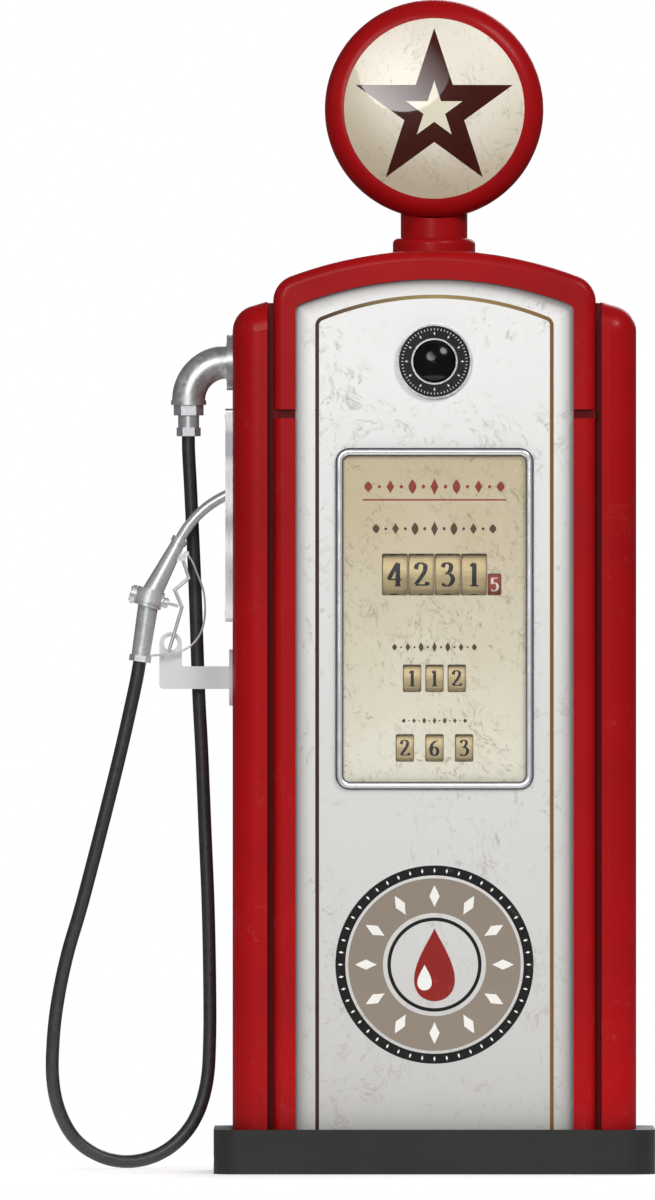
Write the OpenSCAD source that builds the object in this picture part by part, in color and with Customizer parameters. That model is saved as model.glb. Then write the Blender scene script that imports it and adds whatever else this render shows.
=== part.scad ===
// Vintage computing gas pump: a sheet steel cabinet on a cast base, with a globe on top, a drum
// counter behind a framed window, and a hose with a lever nozzle hung on the left side.
// Millimetres. Origin on the floor under the middle of the base, +X right, +Y to the rear, +Z up.

/* [Cabinet] */
// Overall width across the two side panels
body_w = 766; // [740:1:840]
// Overall depth of the cabinet
body_d = 460; // [450:1:540]
// Width of a side panel as seen from the front
column_w = 66; // [60:1:80]
// Radius of the side panel's rounded edges
column_r = 50; // [30:1:56]
// Height of the side panel's top above the floor
column_top = 1655; // [1600:1:1658]
// Width of the dark groove between a side panel and the core
groove_w = 11; // [6:1:18]
// Thickness of the sheet steel
sheet_t = 3; // [2:0.5:4]
// Height of the seam between the lower walls and the hood
seam_z = 1433; // [1426:1:1450]
// Height of the open seam
seam_h = 17; // [8:1:24]
// Height of the hood's crown above the floor
crown_z = 1752; // [1740:1:1800]
// Radius of the hood's shoulders
hood_corner_r = 50.8; // [40:0.2:60]
// Radius of the rolled front and rear edges of hood and walls
edge_r = 19; // [8:1:22]
// Width of the red stile beside the white panel
stile_w = 42; // [36:1:60]
// Height of the red band over the white panel at the crown
head_w = 55; // [45:1:70]
// Corner radius of the white panel's opening
opening_corner_r = 17.6; // [8:0.2:30]
// How far the white panel lies behind the red frame
panel_recess = 12; // [9:0.5:16]
// Thickness of the enamelled panels
panel_t = 3; // [2:0.5:4]
// How far the white panel laps behind the frame
panel_lap = 20; // [12:1:26]

/* [Base] */
// Height of the cast base
base_h = 84; // [70:1:110]
// How far the base stands out beyond the cabinet
base_overhang = 36; // [20:1:60]
// Corner radius of the base in plan
base_r = 55; // [30:1:80]
// Wall thickness of the base casting
base_wall = 10; // [8:1:16]
// Anchor bolt spacing across the width
anchor_x = 450; // [420:1:480]
// Anchor bolt spacing along the depth
anchor_y = 280; // [240:1:300]
// Anchor bolt hole diameter
anchor_hole_d = 18; // [14:1:24]

/* [Meter window] */
// Outer width of the chrome window frame
dial_w = 376; // [340:1:400]
// Outer height of the chrome window frame
dial_h = 648; // [620:1:680]
// Height of the window's middle above the floor
dial_z = 1053; // [1040:1:1060]
// Outer corner radius of the window frame
dial_r = 27; // [22:1:34]
// Width of the window frame's bead
bezel_w = 15; // [12:1:20]
// Radius of the money drums
sale_wheel_r = 96; // [90:0.5:97]
// Radius of the volume and price drums
small_wheel_r = 64; // [56:0.5:65]
// Spacing of the money drums
sale_pitch = 50; // [50:0.5:51]
// Spacing of the volume drums
volume_pitch = 42.4; // [40:0.2:48]
// Spacing of the price drums
price_pitch = 56.2; // [44:0.2:60]
// Height of the money drums above the window's middle
sale_rise = 84; // [80:1:90]
// Depth of the volume drums below the window's middle
volume_drop = 113; // [111:1:114]
// Depth of the price drums below the window's middle
price_drop = 245; // [244:1:250]

/* [Sight glass] */
// Outer diameter of the sight glass ring
sight_d = 142; // [130:1:160]
// Diameter of the domed glass
sight_lens_d = 81; // [70:1:84]
// Height of the sight glass and the hose outlet above the floor
outlet_z = 1541; // [1530:1:1546]

/* [Globe] */
// Outer diameter of the globe
globe_d = 416; // [400:1:440]
// Depth of the globe's band
globe_depth = 170; // [150:1:200]
// Diameter of each globe lens
lens_d = 343; // [320:1:350]
// How far a lens bulges
lens_bulge = 22; // [12:1:30]
// Height of the globe's centre above the hood's crown
globe_rise = 271; // [262:1:290]
// Diameter of the globe's neck
neck_d = 127; // [110:1:140]
// Diameter of the collar under the neck
collar_d = 157; // [150:1:180]
// Height of the collar at the middle
collar_h = 25; // [18:1:30]

/* [Hose outlet] */
// Depth position of the outlet and hose, from the cabinet's middle
outlet_y = -60; // [-64:1:-56]
// Diameter of the outlet flange
flange_d = 107; // [96:1:120]
// Thickness of the outlet flange
flange_t = 11.5; // [8:0.5:12]
// Outside diameter of the outlet elbow
elbow_d = 63; // [56:0.5:66]
// Bend radius of the outlet elbow
elbow_r = 72.5; // [66:0.5:80]
// Outside diameter of the inner pipework
pipe_d = 48; // [42:0.5:52]
// Outside diameter of the hose
hose_d = 25; // [24:0.5:28]

/* [Nozzle and switch lever] */
// How far the nozzle lies behind the cabinet's front
nozzle_inset = 110; // [106:1:112]
// Height of the spout's hole in the boot
boot_z = 1294; // [1288:1:1300]
// Height of the nozzle boot plate
boot_h = 405; // [380:1:430]
// Width of the nozzle boot plate
boot_w = 110; // [90:1:116]
// Thickness of the nozzle boot plate
boot_t = 14; // [10:0.5:14]
// Outside diameter of the spout
spout_d = 20; // [18:0.5:24]
// Diameter of the trigger rod
trigger_d = 6.4; // [5:0.2:7]
// Diameter of the trigger guard's wire
guard_d = 4; // [3:0.2:6]
// How far the switch lever lies behind the nozzle
lever_back = 20; // [19:0.5:21]
// Height of the switch lever's shaft
lever_z = 941; // [930:1:950]
// Width of the lever's flat bar
lever_bar_w = 43; // [36:1:44]
// Thickness of the lever's flat bar
lever_t = 8; // [5:0.5:8]
// Diameter of the padlock hole in the lever's end
lever_eye_d = 26; // [20:1:28]

/* [Rear door] */
// Gap round the rear door
door_gap = 2.5; // [1.5:0.5:4]
// Distance of each hinge's middle from the door's nearer end
hinge_inset = 220; // [120:1:400]
// Radius of the hinge barrel
barrel_r = 6; // [5:0.5:7]
// Radius of the hinge pin
pin_r = 3.5; // [2.5:0.5:4]

/* [Machinery] */
// Outside diameter of the motor
motor_d = 170; // [150:1:180]
// Length of the motor's shell
motor_l = 210; // [180:1:220]
// Pitch radius of the motor pulley
motor_pulley_r = 36; // [30:1:44]
// Pitch radius of the pump pulley
pump_pulley_r = 72; // [60:1:80]
// Diameter of the meter's crankcase
meter_d = 190; // [170:1:200]
// Radial clearance of a shaft in its bearing
run_gap = 0.08; // [0.05:0.01:0.1]

/* [Hidden] */
$fn = 96;
arc_fn = 240;
cut = 1;
seat_gap = 0.3;

// Cabinet planes and edges
half_d = body_d / 2;
side_x = body_w / 2;
column_in = side_x - column_w;
// Square to the top of a side panel, which falls away from the hood
slope_ray = [0.28, 0.96];
column_knee = column_top - column_r * slope_ray[1]
  - (column_w - column_r + column_r * slope_ray[0]) * slope_ray[0] / slope_ray[1];
core_half = column_in - groove_w;
core_in = core_half - sheet_t;
opening_half = core_half - stile_w;
hood_foot = seam_z + seam_h;
opening_top = crown_z - head_w;
panel_front = half_d - panel_recess;
panel_back = panel_front - panel_t;
hem_depth = 25;
// Direction in x and z, of the line through the middles of an arched top and its corner, as 44:117:125
corner_ray = [0.352, 0.936];
hood_arch_r = arch_r(core_half, hood_corner_r);
column_hem_drop = 3;

// Frame of angle iron
angle_leg = 40;
angle_t = 4;
post_gap = 3;
post_out = min(panel_back - post_gap, half_d - edge_r);
post_in = post_out - angle_leg;
post_side = core_in - angle_leg;
post_top = column_top - 15;
shelf_t = 6;
meter_shelf_z = 440;
register_shelf_z = dial_z - 337;
header_z = seam_z - angle_leg;

// Base casting
base_floor_t = 14;
pipe_opening_w = 300;
pipe_opening_d = 180;
hand_hole_d = 60;

// Meter window
dial_plate_t = 2;
glass_t = panel_t;
glass_lap = 4;
bezel_h = 9;
dial_half_w = dial_w / 2;
dial_half_h = dial_h / 2;
drum_front = panel_back - dial_plate_t - 1;
sale_axis = [-(drum_front - sale_wheel_r), dial_z + sale_rise];
volume_axis = [-(drum_front - small_wheel_r), dial_z - volume_drop];
price_axis = [-(drum_front - small_wheel_r), dial_z - price_drop];
counter_axes = [sale_axis, volume_axis, price_axis];
sale_rim_w = 48;
small_rim_w = 33;
tenths_rim_w = 25;
hub_gap = 0.4;
sale_x = [for (i = [0:3]) (i - 1.5) * sale_pitch];
tenths_x = 2 * sale_pitch + hub_gap + tenths_rim_w / 2 + 1;
small_x = function (pitch) [for (i = [-1:1]) i * pitch];
window_sale = [sale_rim_w - 1, 77];
window_small = [small_rim_w - 0.5, 50];
window_tenths = [tenths_rim_w - 1, 39];
tenths_drop = 19;
counter_shaft_r = 6;
wheel_rim_t = 4;
wheel_web_t = 4;
wheel_hub_r = 12;

// Register behind the drums
register_half_w = 140;
register_plate_t = 4;
register_front = drum_front - 7;
register_rear = -15;
register_top = sale_axis[1] + sale_wheel_r + 10;
tie_rod_r = 5;
case_half_w = 118;
case_front = -(drum_front - 2 * small_wheel_r) + 6;
case_rear = -18;
case_top = sale_axis[1] - sale_wheel_r - 11;

// Sight glass
sight_r = sight_d / 2;
sight_lens_r = sight_lens_d / 2;
sight_ring_w = 3.5;
sight_boss_r = sight_lens_r + sight_ring_w + 1;
sight_bulge = 17;
sight_tee_l = 120;

// Liquid end
drive_shaft_r = 8;
pump_x = -130;
pump_z = base_h + 146;
motor_x = 130;
motor_z = base_h + 106;
pulley_y = 140;
pulley_w = 24;
belt_w = 13;
belt_h = 8;
groove_gap = 0.3;
rotor_shaft_r = 9;
riser_x = 210;
delivery_x = -170;
bend_r = 45;
suction_l = 34;
pipe_wall = 4;
meter_z = meter_shelf_z + shelf_t;
meter_port_z = meter_z + 48;
meter_r = meter_d / 2;
meter_port_x = meter_r + 15;
meter_top = meter_port_z + 108;

// Globe
globe_r = globe_d / 2;
globe_z = crown_z + globe_rise;
lens_r = lens_d / 2;
globe_edge_r = globe_r - lens_r + 1;
globe_wall = 3;
lens_t = 5;
lens_seat = 4;

// Nozzle, in the plane of the nozzle: x from the side panel, z from the spout hole's middle
nozzle_y = -half_d + nozzle_inset;
lever_y = nozzle_y + lever_back;
cup_r = spout_d / 2 + 13.2;
cup_rise = 4;
cup_wall = 3;
cup_depth = 58;
nozzle_collar = [-99, -88.5];
nozzle_valve = [-158.5, -201.5];
nozzle_tail = [-176.7, -322.5];
trigger_pivot = [-95.8, -125];
trigger_route = [trigger_pivot, [-83.3, -164], [-110.2, -186.5], [-96.4, -219], [-121, -302]];
guard_boss = [-88, -117];
guard_boss_r = 4;
guard_route = [guard_boss, [-77, -132], [-68, -154], [-55.5, -188], [-52.5, -226], [-57, -258],
               [-68, -280], [-85, -296], [-112, -307], [-160, -311.5]];
spout_bend_r = 184;
spout_turn = 52.8;
spout_wall = 2;
stem_tilt = -16;
stem_r = 3;
pivot_pin_r = 2.5;
trigger_eye_r = 5.1;
ear_gap = 0.4;
ear_t = 3;

// Hose route from the coupling to the nozzle's tail, the way it hangs
hose_route = [
  [-467.5, -60, 1400], [-467, -60, 1370], [-463, -60, 1294], [-458, -60, 1186], [-454, -60, 1090],
  [-448, -60, 916], [-442, -60, 800], [-436, -60, 655], [-430, -61, 509], [-427, -63, 364],
  [-427, -66, 254], [-432, -69, 175], [-450, -73, 112], [-482, -77, 65], [-527, -82, 33],
  [-582, -87, 21], [-637, -92, 32], [-683, -97, 65], [-712, -102, 116], [-725, -106, 178],
  [-724, -110, 254], [-715, -113, 330], [-697, -116, 416], [-670, -118, 509], [-632, -120, 655],
  [-596, -120, 800], [-572, -120, 907], [-564.2, -120, 945], [-559.71, -120, 971.44]
];

// A flat profile in x and z, made solid from y = a to y = b
module slab_y(a, b) {
  translate([0, b, 0]) rotate([90, 0, 0]) linear_extrude(b - a) children();
}

// A flat profile in y and z, made solid from x = a to x = b
module slab_x(a, b) {
  translate([a, 0, 0]) rotate([90, 0, 90]) linear_extrude(b - a) children();
}

// A flat profile in x and y, made solid from z = a to z = b
module slab_z(a, b) {
  translate([0, 0, a]) linear_extrude(b - a) children();
}

// A profile of radius and forward distance, turned about the Y axis
module turn_y(angle = 360, start = 0, fn = $fn) {
  rotate([90, 0, 0]) rotate_extrude(angle = angle, start = start, $fn = fn) children();
}

// A profile of radius and x, turned about the X axis
module turn_x() {
  rotate([0, 90, 0]) rotate_extrude() children();
}

// A round bar along X, Y or Z from a to b through the point in the other two directions
module bar_x(a, b, y, z, r) {
  translate([a, y, z]) rotate([0, 90, 0]) cylinder(r = r, h = b - a);
}

module bar_y(a, b, x, z, r) {
  translate([x, a, z]) rotate([-90, 0, 0]) cylinder(r = r, h = b - a);
}

module bar_z(a, b, x, y, r) {
  translate([x, y, a]) cylinder(r = r, h = b - a);
}

// A box between two corners
module block(low, high) {
  translate(low) cube(high - low);
}

// The first quarter of a disc
module quarter(r) {
  intersection() {
    circle(r);
    square(r);
  }
}

// A rectangle about the origin with round corners
module rounded_rect(w, d, r) {
  square([w, d - 2 * r], center = true);
  for (s = [-1, 1]) {
    translate([-w / 2 + r, s > 0 ? d / 2 - r : -d / 2]) square([w - 2 * r, r]);
    for (t = [-1, 1])
      translate([t * (w / 2 - r), s * (d / 2 - r)]) mirror([t < 0 ? 1 : 0, 0]) mirror([0, s < 0 ? 1 : 0])
        quarter(r);
  }
}

// The section of an arched cover: out to radius r, with round edges front and rear
module cover_section(r, depth, edge) {
  translate([0, -depth]) square([r - edge, 2 * depth]);
  translate([r - edge, -depth + edge]) square([edge, 2 * (depth - edge)]);
  for (s = [0, 1])
    mirror([0, s]) translate([r - edge, depth - edge]) quarter(edge);
}

// Radius of an arched top that runs smoothly into round corners and upright sides
function arch_r(half_w, corner_r) = corner_r + (half_w - corner_r) / corner_ray[0];
// Height of the middle of those corners
function corner_z(half_w, top, corner_r) =
  let (r = arch_r(half_w, corner_r)) top - r + (r - corner_r) * corner_ray[1];

// A four-sided area from the origin between two directions
module between(a, b, reach) {
  polygon([[0, 0], reach * a, reach * (a + b), reach * b]);
}

// An arched outline in x and z, grown by a margin, from the foot upwards
module arch_outline(half_w, top, corner_r, foot, grow = 0) {
  r = arch_r(half_w, corner_r);
  cz = corner_z(half_w, top, corner_r);
  translate([-half_w - grow, foot]) square([2 * (half_w + grow), cz - foot]);
  intersection() {
    translate([0, top - r]) circle(r + grow, $fn = arc_fn);
    translate([0, top - r]) between(corner_ray, [-corner_ray[0], corner_ray[1]], 2 * r);
    translate([-2 * half_w, foot]) square([4 * half_w, top + grow + 1 - foot]);
  }
  for (s = [0, 1])
    mirror([s, 0]) translate([half_w - corner_r, cz]) intersection() {
      circle(corner_r + grow);
      between([1, 0], corner_ray, 2 * (corner_r + grow));
    }
}

// The hood as a solid with rolled front and rear edges, taken in by an inset
module hood_form(inset, foot) {
  cz = corner_z(core_half, crown_z, hood_corner_r);
  depth = half_d - inset;
  edge = edge_r - inset;
  slab_z(foot, cz) rounded_rect(2 * (core_half - inset), 2 * depth, edge);
  intersection() {
    translate([0, 0, crown_z - hood_arch_r]) intersection() {
      turn_y(fn = arc_fn) cover_section(hood_arch_r - inset, depth, edge);
      slab_y(-body_d, body_d) between(corner_ray, [-corner_ray[0], corner_ray[1]], 2 * hood_arch_r);
    }
    block([-body_w, -body_d, foot], [body_w, body_d, 2 * crown_z]);
  }
  for (s = [0, 1])
    mirror([s, 0, 0]) translate([core_half - hood_corner_r, 0, cz]) intersection() {
      turn_y(fn = arc_fn) cover_section(hood_corner_r - inset, depth, edge);
      slab_y(-body_d, body_d) between([1, 0], corner_ray, 2 * hood_corner_r);
    }
}

// The window that hood and stiles leave for the white panel
module panel_opening(foot, grow = 0) {
  arch_outline(opening_half, opening_top, opening_corner_r, foot, grow);
}

// The lip that turns back from the edge of that window to the panel's face
module opening_lip(foot, top) {
  slab_y(panel_front, half_d - sheet_t + cut) difference() {
    intersection() {
      panel_opening(foot, sheet_t);
      translate([-body_w, foot]) square([2 * body_w, top - foot]);
    }
    panel_opening(foot - cut);
  }
}

// The right-hand side panel as a solid, taken in by an inset, from an inner face upwards
module column_form(inset, x_from, z_from) {
  r = column_r - inset;
  xk = side_x - column_r;
  yk = half_d - column_r;
  slab_z(z_from, column_knee) {
    translate([x_from, -yk - r]) square([xk - x_from, 2 * (yk + r)]);
    translate([xk, -yk]) square([r, 2 * yk]);
    for (s = [0, 1])
      mirror([0, s]) translate([xk, yk]) quarter(r);
  }
  slab_y(-yk, yk) translate([xk, column_knee]) intersection() {
    circle(r);
    between([1, 0], slope_ray, 2 * r);
  }
  for (s = [0, 1])
    mirror([0, s, 0]) translate([xk, yk, column_knee]) intersection() {
      rotate_extrude(angle = 90) quarter(r);
      slab_y(-r, 2 * r) between([1, 0], slope_ray, 2 * r);
    }
  intersection() {
    translate([xk, 0, column_knee]) rotate([0, asin(slope_ray[0]), 0]) slab_x(-2 * column_w, 0) {
      translate([-yk - r, -column_w]) square([2 * (yk + r), column_w]);
      translate([-yk, 0]) square([2 * yk, r]);
      for (s = [0, 1])
        mirror([s, 0]) translate([yk, 0]) quarter(r);
    }
    block([x_from, -body_d, column_knee - column_r], [side_x, body_d, crown_z]);
  }
}

// A side panel: an open shell with a hem along its inner edge and a strip that closes the groove
module side_panel() {
  difference() {
    column_form(0, column_in, base_h);
    column_form(sheet_t, column_in - cut, base_h - cut);
  }
  intersection() {
    difference() {
      column_form(0, column_in, base_h);
      column_form(hem_depth, column_in - cut, base_h - cut);
    }
    block([column_in, -body_d, base_h], [column_in + sheet_t, body_d, column_top + cut]);
  }
  strip_y = half_d - hem_depth;
  strip_z = column_top - column_hem_drop;
  for (s = [0, 1])
    mirror([0, s, 0])
      block([core_half, strip_y, base_h], [column_in + sheet_t, strip_y + sheet_t, strip_z]);
  block([core_half, -strip_y, strip_z - sheet_t], [column_in + sheet_t, strip_y, strip_z]);
}

// Places a child with x from the left side panel outwards and z from the spout hole
module at_nozzle() {
  translate([-side_x, nozzle_y, boot_z]) children();
}

// A round bar or cone in the nozzle's plane from p to q
module rod(p, q, r1, r2) {
  d = q - p;
  translate([p[0], 0, p[1]]) rotate([0, atan2(d[0], d[1]), 0]) cylinder(r1 = r1, r2 = r2, h = norm(d));
}

function unit(v) = v / norm(v);
// Point on a Catmull-Rom curve between b and c
function spline_point(a, b, c, d, t) =
  0.5 * (2 * b + (c - a) * t + (2 * a - 5 * b + 4 * c - d) * t * t + (3 * b - a - 3 * c + d) * t * t * t);
// A smooth line through the points, with a number of steps between each pair
function smooth_line(p, steps) = [
  for (i = [0:len(p) - 2], k = [0:steps - 1])
    spline_point(p[max(i - 1, 0)], p[i], p[i + 1], p[min(i + 2, len(p) - 1)], k / steps),
  p[len(p) - 1]
];
function tangent_at(line, i) = unit(line[min(i + 1, len(line) - 1)] - line[max(i - 1, 0)]);

// A round tube along a line that runs roughly across the Y axis, closed at both ends
module tube_along(line, r, sides, first = undef, last = undef) {
  n = len(line);
  along = [for (i = [0:n - 1])
    i == 0 && first != undef ? first : i == n - 1 && last != undef ? last : tangent_at(line, i)];
  points = [for (i = [0:n - 1])
    let (u = unit([0, 1, 0] - along[i] * along[i][1]), v = cross(along[i], u))
    for (k = [0:sides - 1])
      line[i] + r * (cos(360 * k / sides) * u + sin(360 * k / sides) * v)];
  walls = [for (i = [0:n - 2], k = [0:sides - 1])
    let (a = i * sides + k, b = i * sides + (k + 1) % sides)
    each [[a, a + sides, b], [b, a + sides, b + sides]]];
  ends = [for (k = [1:sides - 2])
    each [[0, k, k + 1], [(n - 1) * sides, (n - 1) * sides + k + 1, (n - 1) * sides + k]]];
  polyhedron(points, concat(walls, ends));
}

// Base and frame

// Cast base: hollow, with a floor plate for the anchor bolts and hand holes over them
module base_plinth() {
  w = body_w + 2 * base_overhang;
  d = body_d + 2 * base_overhang;
  color("#323231") difference() {
    slab_z(0, base_h) rounded_rect(w, d, base_r);
    slab_z(base_floor_t, base_h - base_wall)
      rounded_rect(w - 2 * base_wall, d - 2 * base_wall, base_r - base_wall);
    slab_z(-cut, base_floor_t + cut) rounded_rect(pipe_opening_w, pipe_opening_d, base_wall);
    for (x = [-1, 1], y = [-1, 1]) {
      bar_z(-cut, base_floor_t + cut, x * anchor_x / 2, y * anchor_y / 2, anchor_hole_d / 2);
      bar_z(base_h - base_wall - cut, base_h + cut, x * anchor_x / 2, y * anchor_y / 2, hand_hole_d / 2);
    }
    bar_z(base_h - base_wall - cut, base_h + cut, pump_x, outlet_y, pipe_d / 2 + seat_gap);
  }
}

// Four corner posts of angle iron
module frame_posts() {
  color("#4a4c4e")
    for (sx = [0, 1], sy = [0, 1])
      mirror([sx, 0, 0]) mirror([0, sy, 0]) slab_z(base_h, post_top) {
        translate([core_in - angle_t, post_in]) square([angle_t, angle_leg]);
        translate([post_side, post_out - angle_t]) square([angle_leg - angle_t, angle_t]);
      }
}

// Angle iron rails between the posts: pairs along the sides, and single ones across
module frame_rails() {
  color("#4a4c4e") {
    for (top = [meter_shelf_z, register_shelf_z, post_top], s = [0, 1])
      mirror([s, 0, 0]) slab_y(-post_in, post_in) {
        translate([core_in - angle_t, top - angle_leg]) square([angle_t, angle_leg - angle_t]);
        translate([post_side, top - angle_t]) square([angle_leg, angle_t]);
      }
    for (foot = [base_h, header_z, post_top - angle_leg], s = [0, 1])
      mirror([0, s, 0]) slab_x(-post_side, post_side) {
        translate([post_out - angle_t, foot]) square([angle_t, angle_leg - angle_t]);
        translate([post_in, foot + angle_leg - angle_t]) square([angle_leg, angle_t]);
      }
  }
}

// Two shelves on the side rails: one for the meter, one for the register
module equipment_shelves() {
  color("#5a5d60") for (z = [meter_shelf_z, register_shelf_z])
    slab_z(z, z + shelf_t) difference() {
      translate([-core_in + angle_t, -post_in + cut]) square([2 * (core_in - angle_t), 2 * (post_in - cut)]);
      for (p = [[riser_x, outlet_y], [delivery_x, outlet_y], [0, outlet_y]])
        translate(p) circle(pipe_d / 2 + 4);
    }
}

// Cabinet skin

module left_side_panel() {
  color("#b3181c") difference() {
    mirror([1, 0, 0]) side_panel();
    bar_x(-side_x - cut, -side_x + column_r, outlet_y, outlet_z, pipe_d / 2 + seat_gap);
    bar_x(-side_x - cut, -side_x + column_r, nozzle_y, boot_z + cup_rise, cup_r + cup_wall + seat_gap);
    bar_x(-side_x - cut, -side_x + column_r, lever_y, lever_z, rotor_shaft_r + 1);
  }
}

module right_side_panel() {
  color("#b3181c") side_panel();
}

// Lower walls of the core: channels with rolled edges, and a joggled strip behind the seam
module core_walls() {
  strip_out = core_half - edge_r - 1
    + sqrt(pow(edge_r - sheet_t, 2) - pow(edge_r - panel_recess + sheet_t, 2));
  color("#b3181c") difference() {
    for (s = [0, 1])
      mirror([s, 0, 0]) {
        slab_z(base_h, seam_z) difference() {
          rounded_rect(2 * core_half, body_d, edge_r);
          rounded_rect(2 * core_in, body_d - 2 * sheet_t, edge_r - sheet_t);
          translate([-body_w, -body_d]) square([body_w + opening_half, 2 * body_d]);
        }
        for (t = [0, 1])
          mirror([0, t, 0]) {
            block([opening_half, panel_front, base_h],
                  [opening_half + sheet_t, half_d - sheet_t + cut, seam_z]);
            block([opening_half + sheet_t - cut, panel_front, seam_z - angle_leg],
                  [strip_out, panel_front + sheet_t, seam_z]);
            block([opening_half, panel_front, seam_z - cut],
                  [core_half, panel_front + sheet_t, hood_foot - seat_gap]);
            block([opening_half + sheet_t + cut, panel_front, seam_z],
                  [strip_out, panel_front + sheet_t, hood_foot + angle_leg / 2]);
          }
        block([opening_half + sheet_t, -panel_front - sheet_t, seam_z - angle_leg],
              [core_in + cut, -panel_front, seam_z - angle_leg + sheet_t]);
        block([opening_half + sheet_t, panel_front, seam_z - angle_leg],
              [core_in + cut, panel_front + sheet_t, seam_z - angle_leg + sheet_t]);
      }
    bar_x(-core_half - cut, -core_in + cut, lever_y, lever_z, rotor_shaft_r + 1);
  }
}

// Arched hood: a shell with rolled edges, open below, with a window front and rear
module hood() {
  color("#b3181c") difference() {
    union() {
      difference() {
        hood_form(0, hood_foot);
        hood_form(sheet_t, hood_foot - cut);
        slab_y(-body_d, body_d) panel_opening(hood_foot - cut);
      }
      for (s = [0, 1])
        mirror([0, s, 0]) opening_lip(hood_foot, crown_z);
    }
    bar_x(-core_half - cut, -core_in + cut, outlet_y, outlet_z, pipe_d / 2 + seat_gap);
    bar_z(crown_z - column_r, crown_z + cut, 0, 0, rotor_shaft_r);
  }
}

// White enamelled front panel with openings for the meter window and the sight glass
module front_panel() {
  color("#e9e8e4") slab_y(-panel_front, -panel_back) difference() {
    panel_opening(base_h, panel_lap);
    translate([0, dial_z])
      rounded_rect(dial_w - 2 * (bezel_w - glass_lap) + 1, dial_h - 2 * (bezel_w - glass_lap) + 1,
                   dial_r - bezel_w + glass_lap);
    translate([0, outlet_z]) circle(sight_boss_r + seat_gap);
  }
}

// Fixed panel in the rear of the hood
module rear_upper_panel() {
  color("#e9e8e4") slab_y(panel_back, panel_front) panel_opening(seam_z + 3, panel_lap);
}

// Rear service door: a sheet with a turned-in edge and two hinge knuckles
door_low = base_h + door_gap + 1.5;
door_high = seam_z - door_gap;
door_half = opening_half - door_gap;
door_out = half_d - 2;
door_in = panel_front - 1;
latch_x = -door_half + 27;
latch_z = (door_low + door_high) / 2;
latch_r = 10;
hinge_x = opening_half + barrel_r;
hinge_y = half_d + barrel_r;
hinge_heights = [door_low + hinge_inset, door_high - hinge_inset];
knuckle_l = 40;
knuckle_gap = 0.5;
leaf_t = 2.5;
leaf_w = 38;

module rear_door() {
  color("#e4e3df") difference() {
    union() {
      block([-door_half, door_out - sheet_t, door_low], [door_half, door_out, door_high]);
      difference() {
        block([-door_half, door_in, door_low], [door_half, door_out - cut, door_high]);
        block([-door_half + sheet_t, door_in - cut, door_low + sheet_t],
              [door_half - sheet_t, door_out, door_high - sheet_t]);
      }
      for (z = hinge_heights) {
        slab_z(z - knuckle_l / 2, z + knuckle_l / 2) difference() {
          union() {
            translate([hinge_x, hinge_y]) circle(barrel_r);
            translate([door_half - leaf_w, door_out - cut])
              square([leaf_w, half_d + leaf_t - door_out + cut]);
            translate([door_half - barrel_r, half_d + seat_gap])
              square([hinge_x - door_half + barrel_r, hinge_y - half_d - seat_gap]);
          }
          translate([hinge_x, hinge_y]) circle(pin_r + run_gap);
        }
      }
    }
    bar_y(door_in, half_d, latch_x, latch_z, latch_r + run_gap);
  }
}

// Fixed halves of the hinges, with their pins
module door_hinges() {
  color("#6d7072") for (z = hinge_heights) {
    for (s = [-1, 1]) {
      low = s < 0 ? z - 1.2 * knuckle_l : z + knuckle_l / 2 + knuckle_gap;
      high = s < 0 ? z - knuckle_l / 2 - knuckle_gap : z + 1.2 * knuckle_l;
      bar_z(low, high, hinge_x, hinge_y, barrel_r);
      block([hinge_x, half_d, low], [hinge_x + barrel_r + cut, hinge_y, high]);
    }
    block([hinge_x + barrel_r + seat_gap, half_d, z - 1.2 * knuckle_l],
          [core_half - edge_r, half_d + leaf_t, z + 1.2 * knuckle_l]);
    bar_z(z - 1.2 * knuckle_l, z + 1.2 * knuckle_l, hinge_x, hinge_y, pin_r);
  }
}

// Quarter-turn latch of the rear door, shown open: a knob, its barrel and an upright cam
module door_latch() {
  cam_t = 4;
  cam_y = door_in - 0.5 - cam_t;
  color("#9a9da0") {
    bar_y(cam_y, door_out + 2, latch_x, latch_z, latch_r);
    difference() {
      bar_y(door_out + 0.5, door_out + 8, latch_x, latch_z, 1.6 * latch_r);
      block([latch_x - 2, door_out + 5, latch_z - latch_r], [latch_x + 2, door_out + 9, latch_z + latch_r]);
    }
    block([latch_x - latch_r, cam_y, latch_z - 1.2 * latch_r],
          [latch_x + latch_r, cam_y + cam_t, latch_z + 4 * latch_r]);
  }
}

// Meter window

// Chrome frame: a half-round bead swept round a rectangle with round corners
module dial_bezel() {
  mid_r = dial_r - bezel_w / 2;
  half_w = dial_half_w - dial_r;
  half_h = dial_half_h - dial_r;
  color("#c9cccf") translate([0, -panel_front, dial_z]) {
    for (s = [0, 1]) {
      mirror([s, 0, 0]) translate([half_w + mid_r, 0, 0]) slab_z(-half_h, half_h) bezel_section();
      mirror([0, 0, s]) translate([0, 0, half_h + mid_r]) slab_x(-half_w, half_w) rotate(-90) bezel_section();
    }
    for (sx = [0, 1], sz = [0, 1])
      mirror([sx, 0, 0]) mirror([0, 0, sz]) translate([half_w, 0, half_h])
        turn_y(90, 0) translate([mid_r, 0]) mirror([0, 1]) bezel_section();
  }
}

// Section of the bead: a low arc standing on the panel, x across and y towards the rear
module bezel_section() {
  arc_r = (pow(bezel_w / 2, 2) + pow(bezel_h - 4, 2)) / (2 * (bezel_h - 4));
  translate([-bezel_w / 2, -4]) square([bezel_w, 4]);
  intersection() {
    translate([0, -bezel_h + arc_r]) circle(arc_r);
    translate([-bezel_w / 2, -bezel_h - cut]) square([bezel_w, bezel_h + cut - 4]);
  }
}

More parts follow.
